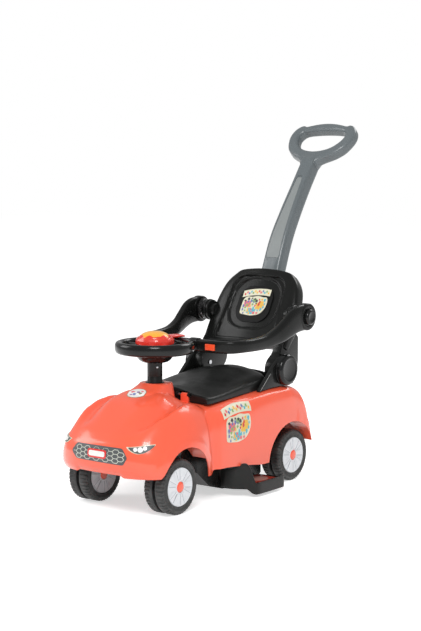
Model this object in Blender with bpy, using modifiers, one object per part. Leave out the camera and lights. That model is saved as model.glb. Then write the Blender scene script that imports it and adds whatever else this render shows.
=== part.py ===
"""Ride-on toy car with a parent push handle, a hinged guard ring and working front-wheel steering.

Units are metres, +Z is up, the car faces -Y and +X is its left side. Sizes are written from the
middle of the wheelbase on the ground; one empty carries the whole model, so that the part's own
origin is the middle of its footprint.
"""
import bpy
import bmesh
from collections import namedtuple
from math import asin, atan2, cos, hypot, pi, radians, sin
from mathutils import Matrix, Vector

# Overall placing
FOOTPRINT_SHIFT = -0.1334
RUNNING_GAP = 0.0003
MERGE = 0.00002

# Wheels and axles
WHEELBASE = 0.458
WHEEL_RADIUS = 0.065
WHEEL_WIDTH = 0.059
WHEEL_CENTRE_X = 0.1155
WHEEL_SIDES = 24
WHEEL_SHOULDER = 0.005
SIDEWALL_RADIUS = 0.060
TREAD_GAP = 0.008
HUB_RADIUS = 0.046
HUB_SIDES = 18
HUB_RECESS = 0.007
HUB_PROUD = 0.0012
CAP_RADIUS = 0.0125
CAP_PROUD = 0.0013
AXLE_RADIUS = 0.0042
FRONT_AXLE_Y = -WHEELBASE / 2
REAR_AXLE_Y = WHEELBASE / 2
REAR_GROOVE_RADIUS = 0.050

# Body shell
BODY_WALL = 0.003
FRONT_ARCH = (FRONT_AXLE_Y + 0.016, WHEEL_RADIUS, WHEEL_RADIUS + 0.025)
REAR_ARCH = (REAR_AXLE_Y - 0.021, WHEEL_RADIUS - 0.010, WHEEL_RADIUS + 0.035)
ARCH_LIP = 0.003
ARCH_LIP_INNER_X = 0.110
FRONT_LINING_LOW = WHEEL_RADIUS + 0.053
BOW_POWER = 2.5
SHOULDER_SHARE = 0.76
SEAT_OPENING = (0.094, -0.080, 0.160)
SEAT_OPENING_CORNER = 0.018

# Steering
COLUMN_Y = -0.144
COLUMN_RADIUS = 0.018
HUMP_TOP = 0.283
HUMP_HALF = (0.037, 0.031)
HUMP_CENTRE_Y = COLUMN_Y + 0.005
STEER_ARM = 0.028
TIE_PLATE_THICK = 0.004
RING_RADIUS = 0.0855
RING_HALF = (0.0095, 0.015)
RING_Z = 0.367
COLUMN_TOP = RING_Z - 0.015
PIN_RADIUS = 0.0035
KINGPIN_RADIUS = 0.0065
KNUCKLE_HEAD = (2 * WHEEL_RADIUS + 0.004, 2 * WHEEL_RADIUS + 0.018)
TIE_PLATE_LOW = KNUCKLE_HEAD[0] + 0.0065
DECK_Z = (KNUCKLE_HEAD[1] + 0.004, KNUCKLE_HEAD[1] + 0.010)

# Seat
BACK_HALF_WIDTH = 0.130
SEAT_HALF_WIDTH = BACK_HALF_WIDTH - 0.010
SEAT_FRONT = -0.095
SEAT_REAR = 0.188
SEAT_WALL = 0.003
SEAT_HINGE = (-0.0952, 0.2525)
SEAT_LUG_X = (0.034, 0.062)
SEAT_EAR = 0.0066
SEAT_EAR_RADIUS = 0.0055
ROOF_FRONT = (-0.090, 0.2345)
ROOF_REAR = (0.150, 0.2455)

# Backrest and its base
BACK_LOW = (0.197, 0.345)
BACK_TOP = (0.3004, 0.5301)
BACK_SPLIT = 0.029
BACK_DEPTH = 0.069
BACK_REAR_CROWN = 0.012
POST_X = (SEAT_HALF_WIDTH - 0.0210, SEAT_HALF_WIDTH + 0.0050)
CHEEK_X = (POST_X[1] + 0.0005, POST_X[1] + 0.0108)
POST_CENTRE = (0.2005, 0.285)
POST_RADIUS = 0.0350
DISC_RADIUS = 0.0360
DISC_THICK = 0.0172

# Guard ring
GUARD_PIVOT = (0.246, 0.4165)
GUARD_BOSS_X = (BACK_HALF_WIDTH + 0.0010, BACK_HALF_WIDTH + 0.0280)
GUARD_DISC_X = (GUARD_BOSS_X[1] + RUNNING_GAP, GUARD_BOSS_X[1] + 0.0200)
GUARD_DISC_RADIUS = 0.034
GUARD_KNOB_RADIUS = 0.020
GUARD_KNOB_PROUD = 0.0095
GUARD_JOINT_X = 0.045
GUARD_BAR_HALF = (0.010, 0.015)
GUARD_BAR = (-0.0290, 0.3630)

# Push handle
GRIP_LEAN = radians(45)
HANDLE_TOP = (0.4950, 0.8000)
GRIP_BASE = (HANDLE_TOP[0] + 0.0148, HANDLE_TOP[1] - 0.0088)
GRIP_DEPTH = 0.040
HANDLE_DEPTH = 0.042

# Footrests
FOOT_FLOOR = (0.0195, 0.0235)
FOOT_LIP_X = 0.186
FOOT_WALL = 0.005
TONGUE_Y = (0.030, 0.100)

# Chassis
TUB_HALF_WIDTH = 0.100
TUB_WALL = 0.003

COLOURS = {
    "coral_plastic": ((0.90, 0.16, 0.085), 0.28, 0.0),
    "black_plastic": ((0.035, 0.036, 0.035), 0.42, 0.0),
    "handle_grey": ((0.135, 0.155, 0.165), 0.45, 0.0),
    "label_grey": ((0.34, 0.35, 0.35), 0.5, 0.0),
    "hub_grey": ((0.78, 0.80, 0.82), 0.35, 0.0),
    "tyre_black": ((0.028, 0.028, 0.028), 0.6, 0.0),
    "signal_orange": ((0.90, 0.13, 0.04), 0.35, 0.0),
    "horn_red": ((0.86, 0.07, 0.05), 0.3, 0.0),
    "horn_yellow": ((0.95, 0.50, 0.05), 0.3, 0.0),
    "foot_pad_red": ((0.33, 0.05, 0.03), 0.4, 0.0),
    "steel": ((0.62, 0.62, 0.64), 0.3, 1.0),
}

for leftover in list(bpy.data.objects):
    bpy.data.objects.remove(leftover, do_unlink=True)

PARTS = bpy.data.collections.new("ride_on_toy")
CUTTERS = bpy.data.collections.new("cutters")
for group in (PARTS, CUTTERS):
    bpy.context.scene.collection.children.link(group)

ROOT = bpy.data.objects.new("footprint_middle", None)
ROOT.location = (0, FOOTPRINT_SHIFT, 0)
PARTS.objects.link(ROOT)


def make_material(name):
    """A Principled material with the colour, roughness and metallic value of one finish."""
    colour, roughness, metallic = COLOURS[name]
    material = bpy.data.materials.new(name)
    material.use_nodes = True
    shader = material.node_tree.nodes["Principled BSDF"]
    shader.inputs["Base Color"].default_value = (*colour, 1)
    shader.inputs["Roughness"].default_value = roughness
    shader.inputs["Metallic"].default_value = metallic
    return material


MATERIALS = {name: make_material(name) for name in COLOURS}


def object_from(name, mesh, finish=None, origin=(0, 0, 0), rotation=None):
    """Link a mesh as a part, or as a hidden cutter when it has no finish."""
    if isinstance(mesh, bmesh.types.BMesh):
        built = bpy.data.meshes.new(name)
        mesh.to_mesh(built)
        mesh.free()
        mesh = built
    result = bpy.data.objects.new(name, mesh)
    result.location = origin
    if rotation is not None:
        result.rotation_euler = rotation
    result.parent = ROOT
    if finish is None:
        CUTTERS.objects.link(result)
        result.hide_render = True
        result.display_type = "WIRE"
    else:
        PARTS.objects.link(result)
        mesh.materials.append(MATERIALS[finish])
        mesh.shade_smooth()
        mesh.set_sharp_from_angle(angle=radians(35))
    return result


def boolean(target, tool, operation):
    """Cut, join or trim a part with another closed shape."""
    step = target.modifiers.new(operation.lower(), "BOOLEAN")
    step.operation = operation
    step.object = tool
    step.solver = "EXACT"


def add_bevel(target, width, segments=2, angle=40):
    """Round the sharp edges of a part."""
    step = target.modifiers.new("rounded_edges", "BEVEL")
    step.width = width
    step.segments = segments
    step.limit_method = "ANGLE"
    step.angle_limit = radians(angle)


def add_mirror(target):
    """Complete a left half across the car's middle plane."""
    step = target.modifiers.new("right_half", "MIRROR")
    step.merge_threshold = MERGE
    step.use_clip = True


def block(low, high):
    """A box between two corners."""
    box = bmesh.new()
    size = Vector(high) - Vector(low)
    middle = (Vector(high) + Vector(low)) / 2
    bmesh.ops.create_cube(box, size=1, matrix=Matrix.Translation(middle) @ Matrix.Diagonal((*size, 1)))
    return box


AXIS_TURN = {"X": Matrix.Rotation(pi / 2, 4, "Y"), "Y": Matrix.Rotation(-pi / 2, 4, "X"), "Z": Matrix()}


def rod(radius, start, end, axis="Z", centre=(0, 0), sides=24, end_radius=None):
    """A cylinder or cone along one axis; centre gives the other two coordinates in order."""
    middle = (start + end) / 2
    places = {"X": (middle, *centre), "Y": (centre[0], middle, centre[1]), "Z": (*centre, middle)}
    turned = bmesh.new()
    bmesh.ops.create_cone(
        turned,
        cap_ends=True,
        segments=sides,
        radius1=radius,
        radius2=radius if end_radius is None else end_radius,
        depth=abs(end - start),
        matrix=Matrix.Translation(places[axis]) @ AXIS_TURN[axis],
    )
    return turned


def turned_part(name, loops, finish, origin, axis="Z", outward=1, sides=24, flat_down=False):
    """Turn one or more (radius, height) profiles, each running down its outer side."""
    profile = bmesh.new()
    for loop, closed in loops:
        corners = [profile.verts.new((radius, 0, height)) for radius, height in loop]
        for first, second in zip(corners, corners[1:]):
            profile.edges.new((first, second))
        if closed:
            profile.edges.new((corners[-1], corners[0]))
    spin = Matrix.Rotation(pi / sides if flat_down else 0, 4, "Z")
    if axis == "X":
        turn = Matrix.Rotation(outward * pi / 2, 4, "Y") @ spin
    else:
        turn = spin
    result = object_from(name, profile, finish, origin, turn.to_euler())
    step = result.modifiers.new("turned", "SCREW")
    step.axis = "Z"
    step.angle = 2 * pi
    step.steps = sides
    step.render_steps = sides
    step.use_merge_vertices = True
    step.merge_threshold = MERGE
    step.use_smooth_shade = True
    return result


def outline_plate(name, outline, thickness, plane, offset, finish=None, holes=(), origin=(0, 0, 0)):
    """A flat outline extruded to a plate; plane XY, YZ or XZ, offset is its middle plane."""
    curve = bpy.data.curves.new(name, "CURVE")
    curve.dimensions = "2D"
    curve.fill_mode = "BOTH"
    curve.extrude = thickness / 2
    for points in (outline, *holes):
        spline = curve.splines.new("POLY")
        spline.points.add(len(points) - 1)
        for point, (first, second) in zip(spline.points, points):
            point.co = (first, second, 0, 1)
        spline.use_cyclic_u = True
    flat = bpy.data.objects.new(name + "_outline", curve)
    turns = {
        "XY": Matrix(),
        "YZ": Matrix(((0, 0, 1, 0), (1, 0, 0, 0), (0, 1, 0, 0), (0, 0, 0, 1))),
        "XZ": Matrix(((1, 0, 0, 0), (0, 0, -1, 0), (0, 1, 0, 0), (0, 0, 0, 1))),
    }
    shifts = {"XY": (0, 0, offset), "YZ": (offset, 0, 0), "XZ": (0, offset, 0)}
    CUTTERS.objects.link(flat)
    graph = bpy.context.evaluated_depsgraph_get()
    mesh = bpy.data.meshes.new_from_object(flat.evaluated_get(graph))
    bpy.data.objects.remove(flat, do_unlink=True)
    plate = bmesh.new()
    plate.from_mesh(mesh)
    bmesh.ops.remove_doubles(plate, verts=plate.verts, dist=MERGE)
    bmesh.ops.dissolve_limit(plate, angle_limit=radians(0.5), verts=plate.verts, edges=plate.edges)
    plate.transform(Matrix.Translation(-Vector(origin)) @ Matrix.Translation(shifts[plane]) @ turns[plane])
    bmesh.ops.recalc_face_normals(plate, faces=plate.faces)
    return object_from(name, plate, finish, origin)


def arc(centre, radius, start, end, count):
    """Points along a circle's arc, angles in degrees."""
    steps = [radians(start + (end - start) * i / (count - 1)) for i in range(count)]
    return [(centre[0] + radius * cos(t), centre[1] + radius * sin(t)) for t in steps]


def rounded_box_outline(low, high, radius, count=5):
    """A rectangle with round corners, counter-clockwise."""
    corners = (
        ((high[0] - radius, low[1] + radius), -90),
        ((high[0] - radius, high[1] - radius), 0),
        ((low[0] + radius, high[1] - radius), 90),
        ((low[0] + radius, low[1] + radius), 180),
    )
    points = []
    for centre, start in corners:
        points += arc(centre, radius, start, start + 90, count)
    return points


def smooth(value):
    """Ease from 0 to 1."""
    value = min(max(value, 0), 1)
    return value * value * (3 - 2 * value)


def along(rail, place):
    """Read a rail of (place, value) points with an eased curve through them."""
    if place <= rail[0][0]:
        return rail[0][1]
    for (low, first), (high, second) in zip(rail, rail[1:]):
        if place <= high:
            share = (place - low) / (high - low)
            return first + (second - first) * share
    return rail[-1][1]


Station = namedtuple("Station", "y_mid y_side half_width z_low z_mid z_side boxiness")


def station_point(station, angle, relief=None):
    """One point of a station's section: angle 0 is its crown and 90 degrees its lower edge."""
    side = sin(angle) ** (2 / station.boxiness)
    drop = max(cos(angle), 0) ** (2 / station.boxiness) if angle < pi / 2 - 1e-6 else 0
    bow = 1 - max(1 - side**BOW_POWER, 0) ** (1 / BOW_POWER)
    x = station.half_width * side
    y = station.y_mid + (station.y_side - station.y_mid) * bow
    roof = station.z_mid + (station.z_side - station.z_mid) * smooth(side / SHOULDER_SHARE)
    if relief is not None:
        roof += relief(x, y)
    return (x, y, station.z_low + (roof - station.z_low) * drop)


def section_angles(boxiness, shares, wall_angles):
    """Section angles at given shares of the half width, then further angles down the wall."""
    crown = [asin(share ** (boxiness / 2)) for share in shares]
    last = crown[-1]
    return crown + [last + (pi / 2 - last) * share for share in wall_angles]


CROWN_SHARES = (0, 0.21, 0.39, 0.56, 0.73, 0.86)
WALL_SHARES = (0.36, 0.72, 1)


def draped_half(stations, relief=None, closed=False, shares=CROWN_SHARES, walls=WALL_SHARES):
    """The left half of a sheet draped over its stations; closed adds a flat underside."""
    sheet = bmesh.new()
    rows = []
    for station in stations:
        angles = section_angles(station.boxiness, shares, walls)
        rows.append([sheet.verts.new(station_point(station, angle, relief)) for angle in angles])
    for near, far in zip(rows, rows[1:]):
        for j in range(len(near) - 1):
            sheet.faces.new((near[j], near[j + 1], far[j + 1], far[j]))
    if closed:
        low = [sheet.verts.new((0, row[-1].co.y, station.z_low)) for row, station in zip(rows, stations)]
        ends = []
        for row, station in ((rows[0], stations[0]), (rows[-1], stations[-1])):
            ends.append([sheet.verts.new((v.co.x, v.co.y, station.z_low)) for v in row[1:-1]] + [row[-1]])
        low[0].co.y = rows[0][0].co.y
        low[-1].co.y = rows[-1][0].co.y
        first = [low[0]] + ends[0]
        last = [low[-1]] + ends[1]
        for j in range(len(first) - 1):
            near = [rows[0][j + 1], rows[0][j], first[j], first[j + 1]]
            far = [rows[-1][j], rows[-1][j + 1], last[j + 1], last[j]]
            sheet.faces.new(list(dict.fromkeys(near)))
            sheet.faces.new(list(dict.fromkeys(far)))
        for i in range(len(rows) - 1):
            inner = list(reversed(first)) if i == 0 else [rows[i][-1], low[i]]
            outer = last if i == len(rows) - 2 else [low[i + 1], rows[i + 1][-1]]
            sheet.faces.new(inner + outer)
    return sheet


def superellipse_ring(half_a, half_b, power, count):
    """Points of a rounded rectangle section, counter-clockwise."""
    ring = []
    for i in range(count):
        turn = 2 * pi * (i + 0.5) / count
        a, b = cos(turn), sin(turn)
        scale = (abs(a) ** power + abs(b) ** power) ** (-1 / power)
        ring.append((half_a * a * scale, half_b * b * scale))
    return ring


def loft(rings, ring_closed=False):
    """Skin a run of equal-length rings of points and cap its ends."""
    skin = bmesh.new()
    rows = [[skin.verts.new(point) for point in ring] for ring in rings]
    pairs = list(zip(rows, rows[1:]))
    if ring_closed:
        pairs.append((rows[-1], rows[0]))
    for near, far in pairs:
        for j in range(len(near)):
            k = (j + 1) % len(near)
            skin.faces.new((near[j], near[k], far[k], far[j]))
    if not ring_closed:
        skin.faces.new(list(reversed(rows[0])))
        skin.faces.new(rows[-1])
    bmesh.ops.recalc_face_normals(skin, faces=skin.faces)
    return skin


def curve_through(points, steps):
    """A smooth curve through hand-placed points, as a longer list of points."""
    ends = [2 * Vector(points[0]) - Vector(points[1])] + [Vector(p) for p in points]
    ends.append(2 * Vector(points[-1]) - Vector(points[-2]))
    result = []
    for i in range(1, len(ends) - 2):
        before, first, second, after = ends[i - 1 : i + 3]
        for step in range(steps):
            t = step / steps
            blend = 2 * first + (second - before) * t
            blend += (2 * before - 5 * first + 4 * second - after) * t * t
            blend += (3 * first - before - 3 * second + after) * t**3
            result.append(blend / 2)
    result.append(ends[-2])
    return result


def swept_section(path, half_sizes, power, count, up=Vector((0, 0, 1))):
    """Rings of a rounded section along a path; half_sizes gives (across, up) at each point."""
    rings = []
    for i, place in enumerate(path):
        ahead = (path[min(i + 1, len(path) - 1)] - path[max(i - 1, 0)]).normalized()
        across = ahead.cross(up).normalized()
        raised = up if abs(ahead.dot(up)) < 0.9 else across.cross(ahead)
        half_across, half_up = half_sizes[i]
        ring = superellipse_ring(half_across, half_up, power, count)
        rings.append([place + across * a + raised * b for a, b in ring])
    return rings


def wall_along(points):
    """A standing wall: points are (x, y, low, high), widened by FOOT_WALL across the path."""
    rings = []
    for i, (x, y, low, high) in enumerate(points):
        before = points[max(i - 1, 0)]
        after = points[min(i + 1, len(points) - 1)]
        ahead = Vector((after[0] - before[0], after[1] - before[1]))
        side = Vector((-ahead.y, ahead.x)).normalized() * FOOT_WALL / 2
        rings.append(
            [
                (x - side.x, y - side.y, low),
                (x + side.x, y + side.y, low),
                (x + side.x, y + side.y, high),
                (x - side.x, y - side.y, high),
            ]
        )
    return loft(rings)


# Body shell

BODY_STATIONS = [
    Station(-0.346, -0.268, 0.148, 0.100, 0.1004, 0.1004, 3.6),
    Station(-0.3545, -0.266, 0.1525, 0.100, 0.117, 0.115, 3.6),
    Station(-0.357, -0.262, 0.1545, 0.100, 0.143, 0.136, 3.5),
    Station(-0.351, -0.256, 0.156, 0.099, 0.167, 0.160, 3.4),
    Station(-0.334, -0.248, 0.157, 0.097, 0.186, 0.186, 3.3),
    Station(-0.310, -0.238, 0.157, 0.094, 0.205, 0.210, 3.2),
    Station(-0.281, -0.224, 0.157, 0.090, 0.227, 0.233, 3.2),
    Station(-0.249, -0.206, 0.157, 0.085, 0.247, 0.252, 3.2),
    Station(-0.215, -0.186, 0.1565, 0.080, 0.260, 0.262, 3.3),
    Station(-0.183, -0.166, 0.155, 0.076, 0.268, 0.264, 3.4),
    Station(-0.156, -0.148, 0.152, 0.073, 0.268, 0.260, 3.6),
    Station(-0.132, -0.129, 0.1475, 0.072, 0.256, 0.252, 4.0),
    Station(-0.112, -0.111, 0.1446, 0.073, 0.2385, 0.2400, 4.8),
    Station(-0.100, -0.100, 0.1440, 0.077, 0.2344, 0.2344, 5.3),
    Station(-0.090, -0.090, 0.1440, 0.081, 0.2345, 0.2345, 5.8),
    Station(-0.060, -0.060, 0.1465, 0.0815, 0.2359, 0.2359, 6.5),
    Station(0.030, 0.030, 0.1525, 0.074, 0.2400, 0.2400, 9.0),
    Station(0.090, 0.090, 0.1545, 0.067, 0.24275, 0.24275, 12.0),
    Station(0.150, 0.150, 0.156, 0.070, 0.2455, 0.2455, 13.0),
    Station(0.200, 0.200, 0.1565, 0.080, 0.2455, 0.2455, 13.0),
    Station(0.2420, 0.240, 0.1560, 0.086, 0.2436, 0.2400, 9.0),
    Station(0.2640, 0.261, 0.1555, 0.090, 0.2320, 0.2280, 7.5),
    Station(0.2780, 0.275, 0.1550, 0.092, 0.2100, 0.2070, 6.5),
    Station(0.2880, 0.284, 0.1540, 0.093, 0.1740, 0.1710, 6.0),
    Station(0.2970, 0.293, 0.1525, 0.094, 0.1330, 0.1310, 6.0),
    Station(0.3030, 0.299, 0.1510, 0.094, 0.1060, 0.1050, 6.0),
    Station(0.3070, 0.303, 0.1500, 0.094, 0.0944, 0.0944, 6.0),
]
VALLEY_MIDDLE = [(-0.31, 0.078), (-0.28, 0.089), (-0.24, 0.098), (-0.20, 0.096), (-0.16, 0.088), (-0.11, 0.078)]
VALLEY_DEPTH = [(-0.322, 0), (-0.308, 0.004), (-0.285, 0.012), (-0.25, 0.017), (-0.20, 0.017), (-0.16, 0.013)]
VALLEY_DEPTH += [(-0.125, 0.006), (-0.108, 0)]
CREST_RISE = [(-0.32, 0), (-0.29, 0.003), (-0.25, 0.004), (-0.18, 0.004), (-0.13, 0.002), (-0.11, 0)]
VALLEY_INNER = 0.060
VALLEY_OUTER = 0.027


def hood_relief(x, y):
    """Two scooped valleys part the raised middle of the hood from the fenders."""
    middle = along(VALLEY_MIDDLE, y)
    if x < middle:
        share = smooth((x - (middle - VALLEY_INNER)) / VALLEY_INNER)
    else:
        share = smooth((middle + VALLEY_OUTER - x) / VALLEY_OUTER)
    rise = along(CREST_RISE, y) * 2.718281828 ** (-(((x - middle - VALLEY_OUTER) / 0.016) ** 2))
    return rise - along(VALLEY_DEPTH, y) * share


def lower_skirt(sheet):
    """The bumper's underside steps down on both sides of the grille."""
    for corner in sheet.verts:
        x, y, z = corner.co
        if y < -0.25 and z < 0.135:
            fall = 1 - smooth((z - 0.100) / 0.030)
            corner.co.z -= 0.0055 * smooth((x - 0.058) / 0.014) * fall
    return sheet


def roof_height(y):
    """Height of the flat roof that the seat and the backrest base rest on."""
    (low, first), (high, second) = ROOF_FRONT, ROOF_REAR
    share = min(max((y - low) / (high - low), 0), 1)
    return first + (second - first) * share


BODY_POST_RADIUS = 0.007
BOSS_RADIUS = 0.0135
BOSS_TOP = DECK_Z[1] + 0.026
BOSS_ROOM = BOSS_RADIUS + 0.0025
REAR_DECK_Z = 0.1085
REAR_DECK_TOP = REAR_DECK_Z + 0.004
BODY_POSTS = ((0.060, -0.215, DECK_Z[1], 0.2502), (0.066, 0.215, REAR_DECK_TOP, 0.2445))


def hump():
    """The raised seat of the steering column: flat top, sloping front and an upright back."""
    rings = []
    half_x, half_y = HUMP_HALF
    levels = ((HUMP_TOP - 0.055, 1.42), (HUMP_TOP - 0.018, 1.16), (HUMP_TOP - 0.003, 1.02), (HUMP_TOP, 0.97))
    for height, scale in levels:
        ring = superellipse_ring(half_x * scale, half_y * scale, 3, 24)
        middle = HUMP_CENTRE_Y - half_y * max(scale - 1, 0)
        rings.append([(a, middle + b, height) for a, b in ring])
    return loft(rings)


def body_shell():
    """One open sheet with a wall thickness, its arches lined and its roof cut for the seat."""
    sheet = lower_skirt(draped_half(BODY_STATIONS, hood_relief))
    shell = object_from("body_shell", sheet, "coral_plastic")
    add_mirror(shell)
    wall = shell.modifiers.new("moulded_wall", "SOLIDIFY")
    wall.thickness = BODY_WALL
    wall.offset = -1
    wall.use_even_offset = True
    solid = lower_skirt(draped_half(BODY_STATIONS, hood_relief, closed=True))
    half_wall = BODY_WALL / 2
    half_width = max(station.half_width for station in BODY_STATIONS)
    front, rear = BODY_STATIONS[2].y_mid, BODY_STATIONS[-1].y_mid
    shrink = Matrix.Diagonal((1 - half_wall / half_width, 1 - 2 * half_wall / (rear - front), 1, 1))
    solid.transform(Matrix.Translation((0, -(front + rear) / 2, 0)))
    solid.transform(Matrix.Translation((0, (front + rear) / 2, half_wall)) @ shrink)
    volume = object_from("body_volume", solid)
    add_mirror(volume)
    foot = block((-0.2, FRONT_AXLE_Y - 0.15, 0), (0.2, FRONT_AXLE_Y + 0.15, FRONT_LINING_LOW))
    open_foot = object_from("open_foot", foot)
    for y, z, radius in (FRONT_ARCH, REAR_ARCH):
        for side in (1, -1):
            ends = (side * ARCH_LIP_INNER_X, side * 0.2)
            lining = rod(radius + ARCH_LIP, min(ends), max(ends), "X", (y, z), 30)
            band = object_from("arch_lining", lining)
            boolean(band, volume, "INTERSECT")
            if y < 0:
                boolean(band, open_foot, "DIFFERENCE")
            boolean(shell, band, "UNION")
    boolean(shell, object_from("hump", hump()), "UNION")
    for y, z, radius in (FRONT_ARCH, REAR_ARCH):
        boolean(shell, object_from("arch", rod(radius, -0.25, 0.25, "X", (y, z), 30)), "DIFFERENCE")
    for sign in (1, -1):
        x = sign * WHEEL_CENTRE_X
        low = (x - BOSS_ROOM, FRONT_AXLE_Y - BOSS_ROOM, DECK_Z[0] - 0.003)
        high = (x + BOSS_ROOM, FRONT_AXLE_Y + STEER_ARM - 0.002, BOSS_TOP + 0.006)
        notch = block(low, high)
        boolean(shell, object_from("boss_notch", notch), "DIFFERENCE")
        for x, y, low, high in BODY_POSTS:
            post = rod(BODY_POST_RADIUS, low + RUNNING_GAP, high, "Z", (sign * x, y), 12)
            boolean(shell, object_from("body_post", post), "UNION")
    half, front, rear = SEAT_OPENING
    outline = rounded_box_outline((-half, front), (half, rear), SEAT_OPENING_CORNER)
    boolean(shell, outline_plate("seat_opening", outline, 0.08, "XY", 0.24), "DIFFERENCE")
    hole = rod(BUSH_RADIUS + RUNNING_GAP, 0.2, 0.3, "Z", (0, COLUMN_Y), 24)
    boolean(shell, object_from("column_hole", hole), "DIFFERENCE")
    return shell


# Steering column, wheel and horn

BUSH_RADIUS = COLUMN_RADIUS + 0.0030
BUSH_LIP = COLUMN_RADIUS + 0.0065


def column_bush():
    loop = [
        (BUSH_LIP, HUMP_TOP + 0.0025),
        (BUSH_LIP, HUMP_TOP + RUNNING_GAP),
        (BUSH_RADIUS, HUMP_TOP + RUNNING_GAP),
        (BUSH_RADIUS, HUMP_TOP - 0.028),
        (COLUMN_RADIUS + RUNNING_GAP, HUMP_TOP - 0.028),
        (COLUMN_RADIUS + RUNNING_GAP, HUMP_TOP + 0.0025),
    ]
    return turned_part("column_bush", [(loop, True)], "black_plastic", (0, COLUMN_Y, 0))


SPIGOT_RADIUS = 0.009
COLUMN_FLANGE = 0.024
CRANK_THICK = 0.005


def steering_column():
    deck_top = DECK_Z[1] + RUNNING_GAP
    spigot_end = CRANK_Z + CRANK_THICK + RUNNING_GAP
    loop = [
        (0, COLUMN_TOP),
        (COLUMN_RADIUS, COLUMN_TOP),
        (COLUMN_RADIUS, deck_top + 0.005),
        (COLUMN_FLANGE, deck_top + 0.005),
        (COLUMN_FLANGE, deck_top),
        (SPIGOT_RADIUS, deck_top),
        (SPIGOT_RADIUS, spigot_end),
        (0, spigot_end),
    ]
    return turned_part("steering_column", [(loop, False)], "black_plastic", (0, COLUMN_Y, 0))


CRANK_Z = TIE_PLATE_LOW + TIE_PLATE_THICK + 0.0008


def steering_crank():
    """The lever under the column, whose pin drives the tie plate."""
    middle = CRANK_Z + CRANK_THICK / 2
    outline = arc((0, 0), 0.011, 180, 360, 9) + arc((0, STEER_ARM), 0.008, 0, 180, 9)
    crank = outline_plate("steering_crank", outline, CRANK_THICK, "XY", middle, "black_plastic")
    crank.location = (0, COLUMN_Y, 0)
    pin = rod(PIN_RADIUS, TIE_PLATE_LOW, middle, "Z", (0, COLUMN_Y + STEER_ARM), 12)
    boolean(crank, object_from("crank_pin", pin), "UNION")
    return crank


def steering_wheel():
    """A deep rim, three spokes and a cup that takes the column's top."""
    ring = superellipse_ring(RING_HALF[0], RING_HALF[1], 2.6, 8)
    loop = [(RING_RADIUS + a, RING_Z + b) for a, b in reversed(ring)]
    wheel = turned_part("steering_wheel", [(loop, True)], "black_plastic", (0, COLUMN_Y, 0), sides=32)
    socket = COLUMN_RADIUS + RUNNING_GAP
    cup = [
        (0, RING_Z + 0.0090),
        (0.0395, RING_Z + 0.0090),
        (0.0450, RING_Z),
        (0.0415, RING_Z - 0.0160),
        (0.0325, RING_Z - 0.0285),
        (0.0250, RING_Z - 0.0325),
        (socket, RING_Z - 0.0325),
        (socket, COLUMN_TOP + RUNNING_GAP),
        (0, COLUMN_TOP + RUNNING_GAP),
    ]
    hub = turned_part("wheel_cup", [(cup, False)], None, (0, COLUMN_Y, 0), sides=20)
    for heading in (0, 90, 180):
        spoke = block((0.025, -0.011, RING_Z - 0.005), (RING_RADIUS - 0.003, 0.011, RING_Z + 0.007))
        spoke.transform(Matrix.Translation((0, COLUMN_Y, 0)) @ Matrix.Rotation(radians(heading), 4, "Z"))
        boolean(hub, object_from("spoke", spoke), "UNION")
    boolean(wheel, hub, "UNION")
    return wheel


HORN_RADIUS = 0.0383
HORN_TRAVEL = 0.003


def horn():
    """The horn's base with its tail on the rear spoke, and the domed button that presses down."""
    low = RING_Z + 0.0093
    seat = low + 0.0037
    base_loop = [
        (0, seat),
        (HORN_RADIUS + 0.0005, seat),
        (HORN_RADIUS + 0.0005, seat + 0.0110),
        (0.0430, seat + 0.0110),
        (0.0485, seat + 0.0045),
        (0.0480, low),
        (0, low),
    ]
    base = turned_part("horn_base", [(base_loop, False)], "horn_red", (0, COLUMN_Y, 0))
    tail_low = RING_Z + RING_HALF[1] + 0.0005
    stations = ((0.043, 0.017, 0.0062), (0.062, 0.012, 0.0054), (0.080, 0.0125, 0.0056), (0.097, 0.016, 0.0060))
    rings = []
    for reach, half, height in stations:
        ring = superellipse_ring(half, height / 2, 3, 12)
        rings.append([(a, COLUMN_Y + reach, tail_low + height / 2 + b) for a, b in ring])
    boolean(base, object_from("horn_tail", loft(rings)), "UNION")
    floor = seat + HORN_TRAVEL + 0.0005
    dome = [
        (0, floor + 0.0225),
        (0.012, floor + 0.0218),
        (0.023, floor + 0.0190),
        (0.032, floor + 0.0140),
        (HORN_RADIUS, floor + 0.0065),
        (HORN_RADIUS, floor),
        (0, floor),
    ]
    turned_part("horn_button", [(dome, False)], "horn_yellow", (0, COLUMN_Y, 0))


# Wheels, knuckles and tie plate

HALF_WIDTH = WHEEL_WIDTH / 2
HALF_GAP = TREAD_GAP / 2
FLAT_RADIUS = WHEEL_RADIUS / cos(pi / WHEEL_SIDES)


def wheel_loop(front):
    """Profile of one front disc, or of the whole grooved rear wheel."""
    bore = AXLE_RADIUS + RUNNING_GAP
    recess = HALF_WIDTH - HUB_RECESS
    outer_half = [
        (bore, recess),
        (HUB_RADIUS, recess),
        (HUB_RADIUS, HALF_WIDTH),
        (SIDEWALL_RADIUS, HALF_WIDTH),
        (FLAT_RADIUS, HALF_WIDTH - WHEEL_SHOULDER),
        (FLAT_RADIUS, HALF_GAP),
    ]
    if front:
        return outer_half + [(bore, HALF_GAP)]
    groove = [(REAR_GROOVE_RADIUS, HALF_GAP), (REAR_GROOVE_RADIUS, -HALF_GAP)]
    inner_half = [
        (FLAT_RADIUS, -HALF_GAP),
        (FLAT_RADIUS, WHEEL_SHOULDER - HALF_WIDTH),
        (SIDEWALL_RADIUS, -HALF_WIDTH),
        (bore, -HALF_WIDTH),
    ]
    return outer_half + groove + inner_half


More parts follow.
